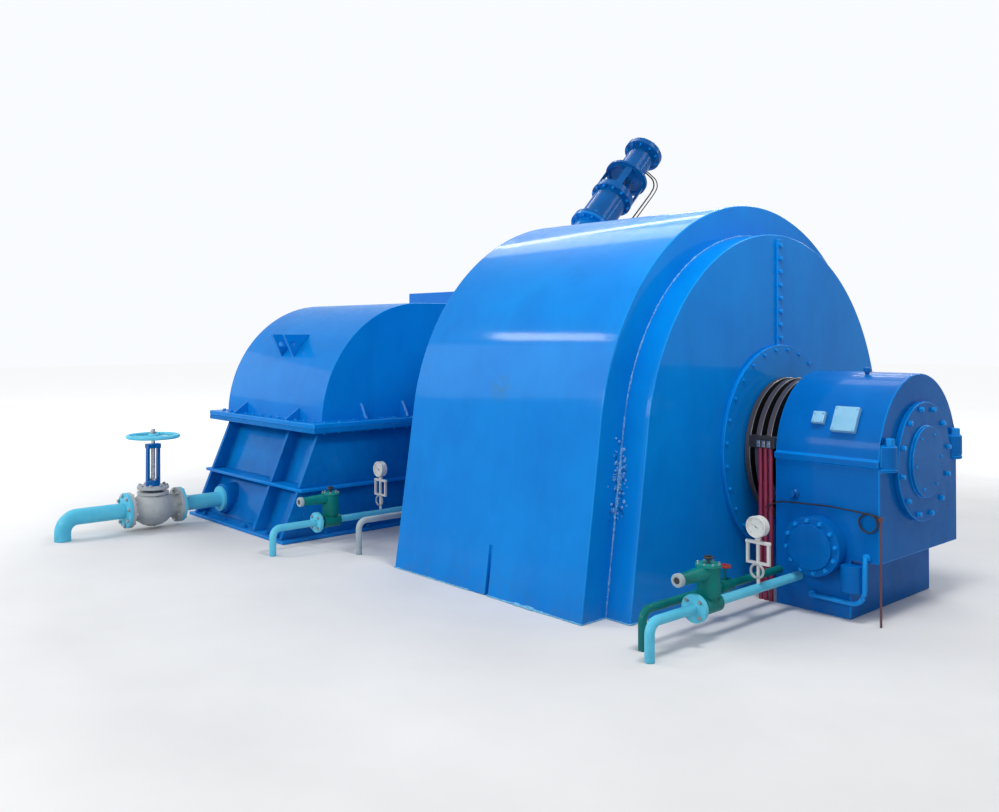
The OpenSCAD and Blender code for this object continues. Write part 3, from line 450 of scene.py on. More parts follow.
def block(low, high, chamfer=0.002):
    """Box between two corners whose edges are cut off: three rings of an octagon, closed at both ends."""
    low, high = np.asarray(low, float), np.asarray(high, float)
    c = min(chamfer, 0.45 * float(np.min(high - low)))
    rings = []
    for inset, z in ((c, low[2]), (0, low[2] + c), (0, high[2] - c), (c, high[2])):
        x0, y0, x1, y1 = low[0] + inset, low[1] + inset, high[0] - inset, high[1] - inset
        rings.append([[x0 + c, y0, z], [x1 - c, y0, z], [x1, y0 + c, z], [x1, y1 - c, z],
                      [x1 - c, y1, z], [x0 + c, y1, z], [x0, y1 - c, z], [x0, y0 + c, z]])
    points = np.array(rings)
    middle_low = np.repeat(points[:1].mean(1, keepdims=True), 8, 1)
    middle_high = np.repeat(points[-1:].mean(1, keepdims=True), 8, 1)
    points = np.concatenate([middle_low, points, middle_high])
    return points.reshape(-1, 3), grid_faces(len(points), 8)


def together(parts):
    """Several pairs of points and faces as one."""
    points, faces, start = [], [], 0
    for p, f in parts:
        points.append(np.asarray(p).reshape(-1, 3))
        faces.append(np.asarray(f) + start)
        start += len(points[-1])
    return np.concatenate(points), np.concatenate(faces)


def hexagon(across):
    """Twelve angles and the hexagon's radius at each, which is half its width across the flats over
    the cosine of the angle to the nearest flat."""
    angle = np.arange(12) * np.pi / 6
    return angle, 0.5 * across / np.cos((angle + np.pi / 6) % (np.pi / 3) - np.pi / 6)


def bolt_shape(centres, axes, size, washer=True, height=0.62):
    """Hexagon bolt heads of width size on washers, one at each centre, pointing along its axis and
    turned by chance. Height is a share of size."""
    centres = np.atleast_2d(centres)
    axes = np.broadcast_to(np.asarray(axes, float), centres.shape)
    angle, head = hexagon(size)
    base = 0.1 * size if washer else 0.0
    rings = [(np.zeros(12), 0.0), (np.full(12, 0.66 * size), 0.0), (np.full(12, 0.66 * size), base),
             (head, base), (head, base + (height - 0.1) * size),
             (np.full(12, 0.47 * size), base + height * size), (np.zeros(12), base + height * size)]
    if not washer:
        rings = [(np.zeros(12), 0.0)] + rings[3:]
    radius = np.array([r for r, _ in rings])
    rise = np.array([h for _, h in rings])
    parts = []
    for centre, axis, turn in zip(centres, axes, rng.uniform(0, 1.05, len(centres))):
        u, v, w = frame_of(axis)
        ring = np.cos(angle + turn)[:, None] * u + np.sin(angle + turn)[:, None] * v
        parts.append((centre + radius[..., None] * ring[None] + rise[:, None, None] * w,
                      grid_faces(len(rings), 12)))
    return together(parts)


def put_bolts(name, groups, material):
    """Groups of bolts, and of the plates they hold, as one piece with crisp edges."""
    finish_mesh(name, groups, material, sharp=25)


def circle_of(centre, axis, radius, count, phase=0.0):
    """Points evenly round a circle about centre, square to axis."""
    u, v, _ = frame_of(axis)
    angle = phase + np.arange(count) * 2 * np.pi / count
    return np.asarray(centre) + radius * (np.cos(angle)[:, None] * u + np.sin(angle)[:, None] * v)


def bolt_circle(centre, axis, radius, count, phase, size, height=0.62):
    """Bolts evenly round a circle, all pointing along its axis."""
    return bolt_shape(circle_of(centre, axis, radius, count, phase), axis, size, height=height)


def line(a, b, count):
    """Points evenly from a to b."""
    return np.linspace(a, b, count)


def hump(value, middle, spread):
    """Bell curve: 1 at middle, and falling to nothing over about twice the spread."""
    return np.exp(-((value - middle) / spread) ** 2)


def end_name(side):
    """The near end of the shaft is the outer bearing's, at +X."""
    return "near" if side > 0 else "far"


def wavering(radius, count, swell=0.3):
    """Radius of a bead laid by hand: two slow waves multiplied, and a quick one, about the mean."""
    along = np.arange(count) * 0.27
    return radius * (1 + swell * (np.sin(along * 2.1) * np.sin(along * 0.7 + 1) + 0.5 * np.sin(along * 7.3)))


# the CAD pieces with rounded edges
def rounded(node, width, angle=math.radians(30)):
    """Stands for a CAD piece: a merged copy whose edges over angle are rounded. On the azure, hood and
    bearing paints the edges take a lighter paint, partly worn paint and partly a painted highlight, and on
    the slip rings bright worn metal."""
    source = frame["nodes"][node]
    mesh = source.data.copy()
    mesh.name = node + "_finished"
    bm = bmesh.new()
    bm.from_mesh(mesh)
    bmesh.ops.remove_doubles(bm, verts=bm.verts, dist=1e-5)
    bmesh.ops.dissolve_limit(bm, angle_limit=math.radians(0.4), verts=bm.verts, edges=bm.edges)
    for face in bm.faces:
        face.smooth = True
    bm.to_mesh(mesh)
    bm.free()
    made = into_scene(mesh.name, mesh)
    main = FINISH[node]
    mesh.materials.clear()
    mesh.materials.append(main)
    mesh.materials.append(EDGE.get(main, main))
    mesh.polygons.foreach_set("material_index", np.zeros(len(mesh.polygons), dtype=np.int32))
    bevel = made.modifiers.new("edges", "BEVEL")
    bevel.width = width
    bevel.segments = 2
    bevel.limit_method = "ANGLE"
    bevel.angle_limit = angle
    # edge faces take the lighter finish: partly wear, partly a painted highlight
    bevel.material = 1
    bevel.use_clamp_overlap = True
    weigh = made.modifiers.new("normals", "WEIGHTED_NORMAL")
    weigh.keep_sharp = True
    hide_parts(node)
    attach(made, body_of_node[node])


for _, width, nodes in DRESS:
    for node in nodes.split() if width else ():
        rounded(node, width)
for node, thing in frame["nodes"].items():
    thing.data.materials.clear()
    thing.data.materials.append(FINISH[node])


# generator
BEAD_Z = 0.004


def horseshoe(r, count=120):
    """Outline of the arch: a circle of radius r about the shaft, then straight sides that touch it
    and lean out down to the floor. Returns (y, z)."""
    angle = np.linspace(ARCH_LEAN, math.pi - ARCH_LEAN, count)
    top = np.stack([r * np.cos(angle), SHAFT_Z + r * np.sin(angle)], 1)
    edge = top[0]
    foot = edge[0] + edge[1] * math.tan(ARCH_LEAN)
    side = np.linspace([foot, BEAD_Z], edge, 60, endpoint=False)
    return np.concatenate([side, top, side[::-1] * [-1, 1]])


def flaking():
    """Blistered paint in the corner between hood and drum: low domes scattered by chance about two
    heights, some on the drum's side and some on the hood's wall. A dome is a profile turned round the
    direction that it faces."""
    outline = horseshoe(DRUM_R, 260)
    front = outline[outline[:, 0] < 0][::-1]
    z = np.concatenate([rng.normal(0.80, 0.085, 120), rng.normal(0.60, 0.03, 26)])
    off = np.abs(rng.normal(0.0, 0.026, len(z))) + 0.004
    size = rng.uniform(0.004, 0.011, len(z))
    on_wall = rng.uniform(0, 1, len(z)) < 0.45
    y = np.interp(z, front[:, 1], front[:, 0])
    pale_ones, dark_ones = [], []
    for k, r in enumerate(size):
        if on_wall[k]:
            centre, out = [HOOD_END - 0.0015, y[k] - off[k], z[k]], ALONG
        else:
            centre, out = [HOOD_END + off[k], y[k] - 0.0005, z[k]], [0, -0.989, 0.15]
        dome = turned([[r, -0.001], [0.8 * r, 0.3 * r], [0.4 * r, 0.5 * r], [0, 0.55 * r]], centre, out, 9)
        (dark_ones if k % 3 == 0 else pale_ones).append(dome)
    finish_mesh("blisters_pale", pale_ones, filler)
    finish_mesh("blisters_dark", dark_ones, blue_dark)


def foot_joint():
    """Light filler along the foot of the hood and its drums, as one wavering tube on each side, with a
    few lumps on the front."""
    slot_half, cover_half = 0.075, 0.9
    parts = []
    for s in (-1, 1):
        for x in (-1, 1):
            corners = [[x * a, s * b, BEAD_Z] for a, b in (
                (slot_half, HOOD_FOOT), (HOOD_END, HOOD_FOOT + 0.002), (HOOD_END, DRUM_FOOT),
                (DRUM_END, DRUM_FOOT), (DRUM_END, cover_half))]
            path = np.concatenate([line(p, q, 40) for p, q in zip(corners[:-1], corners[1:])])
            path = path[np.r_[True, np.linalg.norm(np.diff(path, axis=0), axis=1) > 1e-6]]
            lumps = 0.013 * hump(path[:, 0], 0.4, 0.13) * (0.7 + 0.3 * np.sin(path[:, 0] * 61)) * (s < 0)
            points, faces = carried(path, wavering(0.004, len(path), 0.35) + lumps, 8, UP)
            points[:, 2] = np.maximum(points[:, 2], 0.0005)
            parts.append((points, faces))
    finish_mesh("foot_joint", parts, filler_blue)


def drum_joint(side):
    """Uneven filler bead along the root of each end drum: a thin tube whose radius wavers, and which
    swells into a rough patch at two heights on the near end."""
    outline = horseshoe(DRUM_R + 0.002, 260)
    path = np.column_stack([np.full(len(outline), side * HOOD_END), outline])
    width = wavering(0.005, len(path), 0.4)
    if side > 0:
        patch = hump(path[:, 2], 0.78, 0.09) + 0.7 * hump(path[:, 2], 0.62, 0.04)
        rough = 1 + 0.5 * np.sin(np.arange(len(path)) * 2.3)
        width = width + np.where(path[:, 1] < 0, 0.009 * patch * rough, 0)
    bead = carried(path, width, 8, flat=[1.0, 0.02, 0.01])
    finish_mesh("drum_joint_" + end_name(side), [bead], filler)


def cover_bolts(side):
    """Bolts round an end cover and up the seam strip over it."""
    axis = [side, 0, 0]
    rim = bolt_circle([side * COVER_X, 0, SHAFT_Z], axis, 0.625, 28, 0.11, 0.017, 0.5)
    rise = np.arange(0.70, 1.33, 0.085) + SHAFT_Z
    seam = np.stack([np.full(len(rise), side * SEAM_X), np.zeros(len(rise)), rise], 1)
    # the bolts take the lighter azure, a painted highlight
    put_bolts("cover_bolts_" + end_name(side), [rim, bolt_shape(seam, axis, 0.024)], blue_sheen_and_wear)


# bearings
def bearing_lines():
    """Thin lines on the outer bearing: the thermometer's wire with its loop and knob, the red conduit at
    the corner, and the pipe that rises from the plinth to the housing."""
    face = -PED_HALF - 0.008
    wire_r, coil_r = 0.0042, 0.05
    t = np.linspace(0, 1, 70)
    wire = bent([[1.21, face - 0.004, 0.55], [1.30, face, 0.60], [1.6, face, 0.612], [1.82, face, 0.6]], 0.03)
    coil = np.stack([1.825 + coil_r * np.sin(4 * np.pi * t), face - 0.012 * t,
                     0.55 + coil_r * np.cos(4 * np.pi * t)], 1)
    tail = bent([coil[-1], [1.86, face - 0.008, 0.598], [1.888, face, 0.59]], 0.02)
    finish_mesh("thermometer_wire", [carried(p, wire_r, 8) for p in (wire, coil, tail)], black)
    knob = turned([[0, 0], [0.026, 0], [0.026, 0.008], [0.014, 0.012], [0.013, 0.03], [0.02, 0.034],
                   [0.02, 0.05], [0, 0.052]], [1.392, -0.499, 0.655], FRONT, 28)
    finish_mesh("drain_knob", [knob], blue_dark)
    corner = [1.888, face + 0.002]
    clamp = turned([[0, 0], [0.014, 0], [0.014, 0.02], [0, 0.02]], [*corner, 0.57], UP, 16)
    conduit = carried(line([*corner, 0.585], [*corner, 0.0], 12), 0.0065, 10)
    finish_mesh("red_conduit", [conduit, clamp], conduit_red)
    x0, x1, y, z0, z1 = 1.50, 1.812, -0.53, 0.10, 0.36
    loop = bent([[x0, -0.46, z0], [x0, y, z0], [x1, y, z0], [x1, y, z1], [x1, -0.49, z1]], 0.09)
    collars = [turned([[0, 0], [0.021, 0], [0.021, 0.012], [0.011, 0.014], [0, 0.014]], at, FRONT, 24)
               for at in ([x0, -0.4995, z0], [x1, -0.4995, z1])]
    # the loop takes the lighter azure, a painted highlight
    finish_mesh("oil_return_loop", [carried(loop, 0.0135, 14)] + collars, blue_sheen_and_wear)


def bearing_fittings(side):
    """Bolts and breather of one bearing, and the screws of the two cover plates on its cap. The outer
    bearing also has the two bolt circles of its end."""
    tag = end_name(side)
    ears = [[side * (PED_X1 + 0.022), s * 0.425, 0.97] for s in (-1, 1)]
    parts = [bolt_shape(ears, UP, 0.046, height=0.8)]
    if side > 0:
        parts.append(bolt_circle([1.91, 0, SHAFT_Z], ALONG, 0.305, 12, 0.2, 0.026))
        parts.append(bolt_circle([1.93, 0, SHAFT_Z], ALONG, 0.165, 6, 0.1, 0.012, 0.5))
    tilt = math.radians(61)
    out = np.array([0, -math.sin(tilt), math.cos(tilt)])
    round_cap = np.array([0, -math.cos(tilt), -math.sin(tilt)])
    screws, inset = [], 0.012
    for x, w, h in ((PED_MID - 0.06, 0.072, 0.072), (PED_MID + 0.095, 0.14, 0.15)):
        base = np.array([side * x, 0, SHAFT_Z]) + out * (PED_HALF + 0.028)
        at = [base + np.array([a, 0, 0]) * (w / 2 - inset) + round_cap * b * (h / 2 - inset)
              for a in (-1, 1) for b in (-1, 1)]
        screws.append(bolt_shape(at, out, 0.011, washer=False, height=0.4))
    cooler = [side * (PED_MID - 0.04), -PED_HALF - 0.09, 0.385]
    parts.append(bolt_circle(cooler, FRONT, 0.145, 12, 0.13, 0.02))
    # the bolts take the lighter azure, a painted highlight
    put_bolts("bearing_bolts_" + tag, parts, blue_sheen_and_wear)
    # the screws take the plates' pale colour, a painted reflection
    put_bolts("plate_screws_" + tag, screws, plate_painted_reflection)
    off = 0.1
    on_cap = [side * PED_MID + side * 0.05, -off, SHAFT_Z + math.sqrt(PED_HALF ** 2 - off ** 2)]
    breather = turned([[0, -0.004], [0.012, -0.004], [0.012, 0.012], [0.021, 0.015], [0.021, 0.034],
                       [0.015, 0.04], [0, 0.041]], on_cap, UP, 28)
    finish_mesh("breather_" + tag, [breather], blue_dark)


# turbine
def turbine_bolts():
    """Bolts along the joint flange: heads on top and nuts below, in a row round the whole casing, but
    not where a gusset or a rib stands."""
    pitch, row_y, row_out = 0.135, 1.62, 0.055
    top, under = [], []
    for s in (-1, 1):
        for x in np.arange(TURB_X0 + 0.02, TURB_X1, pitch):
            if min(abs(x - TURB_MID - GUSSET_X), abs(x - TURB_MID + GUSSET_X)) > 0.04:
                top.append([x, s * row_y, FLANGE_Z1])
                if min(abs(x - rib - RIB_T / 2) for rib in RIB_X) > 0.035:
                    under.append([x, s * row_y, FLANGE_Z0])
    sides = np.arange(0.63, 1.6, pitch)
    for y in np.concatenate([-sides, sides]):
        if min(abs(abs(y) - gusset) for gusset in GUSSET_Y) > 0.035:
            top.append([TURB_X1 + row_out, y, FLANGE_Z1])
            top.append([TURB_X0 - row_out, y, FLANGE_Z1])
        under.append([TURB_X1 + row_out, y, FLANGE_Z0])
    top += [[TURB_X0 - row_out, y, FLANGE_Z1] for y in np.arange(-0.5, 0.6, pitch)]
    # the bolts take the lighter azure, a painted highlight
    put_bolts("joint_bolts", [bolt_shape(top, UP, 0.024, height=0.4),
                              bolt_shape(under, DOWN, 0.022, height=0.5)], blue_sheen_and_wear)


def jet_at(t, s=0.0, x=0.0):
    """Point at t along the nozzle's axis, s square to it in the upright plane, and x along the shaft."""
    return JET_START + JET * t + JET_UP * s + np.array([x, 0, 0])


def nozzle_bolts():
    """Bolt circles of the nozzle's seat, the servomotor, the lantern and its head, each with its place
    along the axis, radius, count, the way it points and the bolts' size."""
    flange = 0.036
    rows = [(SEAT_T + 0.048, 0.268, 16, 1, 0.036), (SERVO_T + flange, 0.216, 12, 1, 0.03),
            (SERVO_T - flange, 0.212, 12, -1, 0.03), (CYL_T1 - flange, 0.216, 12, -1, 0.03),
            (LANTERN_T1, 0.226, 12, 1, 0.026), (HEAD_T1 + 0.07, 0.19, 10, 1, 0.028),
            (HEAD_T1, 0.187, 10, -1, 0.028)]
    # the bolts take the lighter azure, a painted highlight
    put_bolts("nozzle_bolts", [bolt_shape(circle_of(jet_at(t), JET, r, count, 0.15), JET * way, size)
                               for t, r, count, way, size in rows], blue_sheen_and_wear)


def servo_lines():
    """Two thin oil lines from the servomotor's head down past the lantern, and the travel scale between
    the lantern's pillars, with the pointer that rides on the needle's rod."""
    parts = []
    for dx, ds, r in ((0.115, 0.0, 0.0085), (0.155, 0.014, 0.0065)):
        route = ((4.16, -0.06, dx), (4.16, -0.20, dx + 0.06), (4.10, -0.262, dx + 0.075),
                 (3.98, -0.272, dx + 0.075), (3.38, -0.262, dx + 0.06), (3.27, -0.2, dx + 0.02),
                 (3.25, -0.12, 0.8 * dx))
        parts.append(carried(bent([jet_at(t, s - ds, x) for t, s, x in route], 0.05), r, 10))
    finish_mesh("servo_oil_lines", parts, black)
    scale = [jet_at(t, -0.07, 0.075) for t in (CYL_T1 + 0.03, LANTERN_T1 - 0.03)]
    finish_mesh("travel_scale", [carried(line(*scale, 12), 0.011, 4, ALONG)], zinc)
    pointer = [jet_at(CYL_T1 + 0.12, -0.02, 0.02), jet_at(CYL_T1 + 0.12, -0.062, 0.062)]
    collar = turned([[0.0425, -0.01], [0.07, -0.008], [0.07, 0.008], [0.0425, 0.01], [0.0425, -0.01]],
                    jet_at(CYL_T1 + 0.185), JET, 32)
    finish_mesh("travel_pointer", [carried(line(*pointer, 5), 0.006, 8), collar], steel, "needle")


def casing_welds():
    """Weld beads where the ribs and the round shelf meet the casing's wall, which leans in with height."""
    bead = 0.005

    def wall(z):
        """How far out the wall's face is at height z."""
        return CASING_FOOT - CASING_LEAN * z / FLANGE_Z0 + 0.002

    parts = []
    for s in (-1, 1):
        for x in [rib + off for rib in RIB_X for off in (-0.003, RIB_T + 0.003)]:
            if CASING_X0 < x < TURB_X1 - bead:
                for z0, z1 in ((0.03, SHELF_Z0), (SHELF_Z1, FLANGE_Z0 - 0.006)):
                    z = np.linspace(z0, z1, 50)
                    path = np.stack([np.full(50, x), s * wall(z), z], 1)
                    parts.append(carried(path, wavering(bead, 50, 0.25), 8, ALONG))
        for z in (0.028, SHELF_Z1 - 0.002):
            for x0, x1 in ((RIB_X[0] + 0.045, RIB_X[1] - 0.006), (RIB_X[1] + 0.043, RIB_X[2] - 0.006)):
                path = line([x0, s * wall(z), z], [x1, s * wall(z), z], 60)
                parts.append(carried(path, wavering(bead, 60, 0.25), 8, UP))
    finish_mesh("casing_welds", parts, blue_low)


def hood_welds():
    """Weld beads at the foot of the turbine's hood, all round on the joint flange, and up both sides of
    each end gusset: straight tubes whose radius wavers."""
    z, y = FLANGE_Z1 + 0.0015, 1.5715
    runs = [([TURB_X0, s * y, z], [TURB_X1, s * y, z], 90, UP) for s in (-1, 1)]
    runs += [([x, -y, z], [x, y, z], 150, UP) for x in (TURB_X0 - 0.0015, TURB_X1 + 0.0015)]
    for x in (TURB_X0 - 0.001, TURB_X1 + 0.001):
        for at in [s * gusset + way * 0.0135 for s in (-1, 1) for gusset in GUSSET_Y for way in (-1, 1)]:
            runs.append(([x, at, z], [x, at, z + 0.126], 24, ALONG))
    parts = [carried(line(a, b, count), wavering(0.0048, count, 0.25), 8, flat) for a, b, count, flat in runs]
    finish_mesh("hood_welds", parts, blue)


def anchor_bolts():
    """Anchor bolts with thick washers on the casing's foot plate."""
    plate_z = 0.024
    places = [[x, s * 1.905, plate_z] for s in (-1, 1) for x in (-3.25, -2.9, -2.55, -2.2, -2.05)]
    places += [[-1.915, s * y, plate_z] for s in (-1, 1) for y in (0.75, 1.15, 1.55)]
    put_bolts("anchor_bolts", [bolt_shape(places, UP, 0.03, height=0.8)], blue_low)


def cable_lugs():
    """Flat lugs that hold the three leads on the brush gear's bar, each with its bolt."""
    y, half = -0.519, 0.011
    lugs = []
    for x in (1.235, 1.202, 1.169):
        lugs.append(block([x - half, y, 0.905], [x + half, -0.5135, 0.945], 0.0015))
        lugs.append(bolt_shape([[x, y, 0.928]], FRONT, 0.012))
    put_bolts("cable_lugs", lugs, zinc)


def nozzle_welds():
    """Weld rings round the nozzle's pipe: one behind the inlet's flange and one on the neck."""
    rings = [carried(circle_of(at, axis, 0.2315, 64), wavering(0.0045, 64, 0.15), 8, axis, closed=True)
             for at, axis in (([TURB_MID, INLET_Y - 0.62, INLET_Z], BACK), (jet_at(1.80), JET))]
    finish_mesh("nozzle_welds", rings, blue_dark)


# drain
def gate_valve():
    """The gate valve's casting: a round body that bulges between its two flanges, the neck and the
    bonnet flange, each a profile turned round its own axis. Bolts clamp the flanges from both sides."""
    y0, y1 = VALVE_Y - 0.215, VALVE_Y + 0.215
    half = [[0, 0], [0.14, 0], [0.14, 0.024], [0.134, 0.026], [0.1, 0.028], [0.09, 0.034], [0.088, 0.055],
            [0.1, 0.085], [0.128, 0.125], [0.144, 0.165], [0.15, 0.215]]
    along = half + [[r, 0.43 - t] for r, t in half[-2::-1]]
    neck = [[0, 0.0], [0.1, 0.02], [0.092, 0.06], [0.084, 0.09], [0.086, 0.1], [0.11, 0.107], [0.125, 0.109],
            [0.125, 0.13], [0, 0.1301]]
    bonnet = [[0.058, 0.176], [0.122, 0.176], [0.1256, 0.173], [0.1256, 0.1535], [0.122, 0.151],
              [0.09, 0.151]]
    middle = [DRAIN_X, VALVE_Y, DRAIN_Z]
    casting = [turned(along, [DRAIN_X, y0, DRAIN_Z], BACK, 56), turned(neck, middle, UP, 48),
               turned(bonnet, middle, UP, 56)]
    made = finish_mesh("gate_valve_casting", casting, grey, sharp=32)
    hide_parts("valve_body")
    clamp = 0.026
    sides = ((y0 + clamp, BACK), (y1 - clamp, FRONT), (y0 - clamp, FRONT), (y1 + clamp, BACK))
    bolts = [bolt_circle([DRAIN_X, y, DRAIN_Z], axis, 0.118, 8, 0.2, 0.024) for y, axis in sides]
    bolts += [bolt_circle([DRAIN_X, VALVE_Y, z], axis, 0.105, 8, 0.2, 0.022)
              for z, axis in ((0.3485, UP), (0.28, DOWN))]
    bolts.append(bolt_shape([[DRAIN_X + dx, VALVE_Y, 0.394] for dx in (-0.04, 0.04)], UP, 0.02))
    put_bolts("valve_bolts", bolts, zinc)


def stem_thread():
    """Thread on the rising stem: a fine helix that winds up the stem's surface."""
    turns, r = 30, 0.0158
    a = np.linspace(0, 2 * np.pi * turns, turns * 20)
    rise = np.linspace(0.40, 0.69, len(a))
    path = np.stack([DRAIN_X + r * np.cos(a), VALVE_Y + r * np.sin(a), rise], 1)
    finish_mesh("stem_thread", [carried(path, 0.0018, 5, UP)], steel, "stem")


def wheel():
    """The handwheel: a round rim, a turned hub and five spokes that dip from the rim to the hub, and the
    nut on the hub. Hub and nut leave the stem's thread free."""
    bore = 0.0184
    centre = np.array([DRAIN_X, VALVE_Y, WHEEL_Z])
    rim = carried(circle_of(centre, UP, 0.199, 72), 0.0155, 14, flat=UP, closed=True)
    hub = turned([[bore, -0.022], [0.036, -0.022], [0.036, 0.016], [0.03, 0.022], [bore, 0.022],
                  [bore, -0.022]], centre, UP, 32)
    s = np.linspace(0.02, 0.2, 14)
    dip = np.sin(np.pi * (s - 0.02) / 0.18)
    spokes = []
    for turn in np.arange(5) * 2 * np.pi / 5:
        out = np.array([math.cos(turn), math.sin(turn), 0])
        path = centre + s[:, None] * out - 0.008 * dip[:, None] * np.array(UP)
        spokes.append(carried(path, 0.0105 - 0.003 * dip, 10))
    made = finish_mesh("handwheel_cast", [rim, hub] + spokes, sky, "wheel")
    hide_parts("handwheel")
    nut_at = centre + [0, 0, 0.0225]
    angle, flats = hexagon(0.048)
    rings = np.stack([nut_at + np.stack([r * np.cos(angle), r * np.sin(angle), np.full(12, h)], 1)
                      for r, h in ((bore, 0), (flats, 0), (flats, 0.016), (0.0215, 0.019), (bore, 0.019),
                                   (bore, 0))])
    finish_mesh("wheel_nut", [(rings, grid_faces(6, 12))], zinc, "wheel", sharp=25)


# cooling water
def gauge_face(x, out, tag):
    """Dial, bezel, ticks, hand and glass of one pressure gauge, its bar and its siphon loop."""
    y, z = GAUGE_Y - out, COOL_Z + 0.337
    front = y - 0.02
    middle = [x, front, z]

    def on_dial(degrees, proud, start, end, count):
        """Points outwards along the dial at an angle from upright."""
        a = math.radians(degrees)
        reach = np.linspace(start, end, count)[:, None]
        return np.array([x, front - proud, z]) + reach * np.array([math.sin(a), 0, math.cos(a)])

    bezel = turned([[0.05, 0], [0.059, 0], [0.0595, 0.006], [0.056, 0.01], [0.0505, 0.008], [0.05, 0]],
                   middle, FRONT, 56)
    finish_mesh("gauge_bezel_" + tag, [bezel], white)
    dial = turned([[0, 0], [0.0505, 0], [0.0505, 0.001], [0, 0.001]], middle, FRONT, 56)
    finish_mesh("gauge_dial_" + tag, [dial], dial_white)
    marks = []
    for k in range(31):
        start, half = (0.036, 0.0008) if k % 5 == 0 else (0.041, 0.00045)
        marks.append(carried(on_dial(-135 + 9 * k, 0.0014, start, 0.0465, 3), half, 4))
    marks.append(carried(on_dial(-62, 0.003, -0.014, 0.038, 8), np.linspace(0.0022, 0.0005, 8), 6))
    marks.append(turned([[0, 0], [0.004, 0], [0.004, 0.004], [0, 0.004]], [x, front - 0.001, z], FRONT, 16))
    finish_mesh("gauge_marks_" + tag, marks, black)
    pane = turned([[0, 0.006], [0.051, 0.006], [0.051, 0.008], [0, 0.008]], middle, FRONT, 48)
    finish_mesh("gauge_glass_" + tag, [pane], clear)
    bar = block([x - 0.074, y - 0.011, z - 0.096], [x + 0.074, y + 0.011, z - 0.078], 0.003)
    nut = turned([[0.0095, -0.012], [0.017, -0.012], [0.017, 0.006], [0.0095, 0.006]],
                 [x, y, z - 0.066], UP, 6)
    finish_mesh("gauge_bar_" + tag, [bar, nut], white)
    r, t = 0.036, np.linspace(0, 2 * np.pi, 40)
    loop = np.stack([x + r * np.sin(t), y - 0.006 - 0.012 * t / (2 * np.pi),
                     COOL_Z + 0.06 + r - r * np.cos(t)], 1)
    finish_mesh("gauge_siphon_" + tag, [carried(loop, 0.007, 10, BACK)], grey)


def stop_wheels():
    """Red rims of the small stop valves on both return pipes."""
    for tag, x, z in (("near", 1.292, 0.3), ("far", -1.292, 0.338)):
        rim = turned([[0, -0.001], [0.03, -0.001], [0.0345, 0.002], [0.0365, 0.006], [0.0345, 0.01],
                      [0.03, 0.013], [0.009, 0.0135], [0.008, 0.02], [0, 0.021]], [x, -1.06, z], UP, 40)
        finish_mesh("stop_wheel_" + tag, [rim], red_paint)


def cooling_fittings(x, out, tag):
    """Bolts, small handwheel, lid and branch end of one control valve."""
    y, disc, wheel_z = CONTROL_Y - out, DISC_Y - out, COOL_Z + 0.24
    put_bolts("cooling_bolts_" + tag, [bolt_circle([x, disc - 0.014, COOL_Z], FRONT, 0.055, 4, 0.78, 0.017),
                                       bolt_circle([x, disc + 0.014, COOL_Z], BACK, 0.055, 4, 0.78, 0.017),
                                       bolt_circle([x, y, COOL_Z + 0.209], UP, 0.056, 8, 0.2, 0.011)], zinc)
    rim = carried(circle_of([x, y, wheel_z], UP, 0.022, 32), 0.006, 8, flat=UP, closed=True)
    hub = turned([[0, 0], [0.01, 0], [0.008, 0.02], [0.008, 0.03], [0.013, 0.031], [0.013, 0.043],
                  [0, 0.044]], [x, y, COOL_Z + 0.208], UP, 20)
    arms = [carried(line([x, y, wheel_z], [x + 0.021 * math.cos(a), y + 0.021 * math.sin(a), wheel_z], 4),
                    0.0038, 6) for a in (0.3, 2.39, 4.49)]
    finish_mesh("small_wheel_" + tag, [rim, hub] + arms, black)
    lid = turned([[0, 0.2085], [0.062, 0.2085], [0.0672, 0.206], [0.0674, 0.196], [0.0615, 0.1945]],
                 [x, y, COOL_Z + 0.001], UP, 56)
    finish_mesh("valve_lid_" + tag, [lid], green_light)
    mouth = [x, y - 0.2705, COOL_Z + 0.165]
    ring = turned([[0.0345, -0.022], [0.0345, 0.0], [0.031, 0.004], [0.019, 0.004], [0.0165, 0.0],
                   [0.0165, -0.0005]], mouth, FRONT, 36)
    finish_mesh("branch_ring_" + tag, [ring], pale)
    finish_mesh("branch_plug_" + tag, [turned([[0, 0.001], [0.0166, 0.001]], mouth, FRONT, 36)], black)


# floor, light and background
def shows_background(tree):
    """Socket that is 1 for the rays that see the plain background: camera, glossy and transmission."""
    rays = tree.nodes.new("ShaderNodeLightPath").outputs
    seen = rays["Is Camera Ray"]
    for ray in ("Is Glossy Ray", "Is Transmission Ray"):
        most = tree.nodes.new("ShaderNodeMath")
        most.operation = "MAXIMUM"
        tree.links.new(seen, most.inputs[0])
        tree.links.new(rays[ray], most.inputs[1])
        seen = most.outputs[0]
    return seen


def make_stage():
    """Plain pale floor that fades to the backdrop's white further out."""
    half, low = 40, -0.001
    mesh = bpy.data.meshes.new("floor")
    mesh.from_pydata([[-half, -half, low], [half, -half, low], [half, half, low], [-half, half, low]], [],
                     [[0, 1, 2, 3]])
    floor = into_scene("floor", mesh)
    n = Nodes("floor_pale")
    cloud = n.span(n.noise(0.8, 4, 0.6), 0.3, 0.7)
    n.shade("Base Color", n.mix(cloud, (0.66, 0.67, 0.68), (0.72, 0.73, 0.74)))
    n.shade("Roughness", 0.55)
    n.shade("Specular IOR Level", 0.0)
    spread = n.add("ShaderNodeVectorMath", operation="LENGTH")
    n.join(n.coords.outputs["Object"], spread.inputs[0])
    fade = n.span(spread.outputs["Value"], 4.0, 10.0, 0.0, 0.75)
    n.shade("Emission Strength", n.math("MULTIPLY", shows_background(n.tree), fade))
    n.shade("Emission Color", (1, 1, 1))
    mesh.materials.append(n.material)


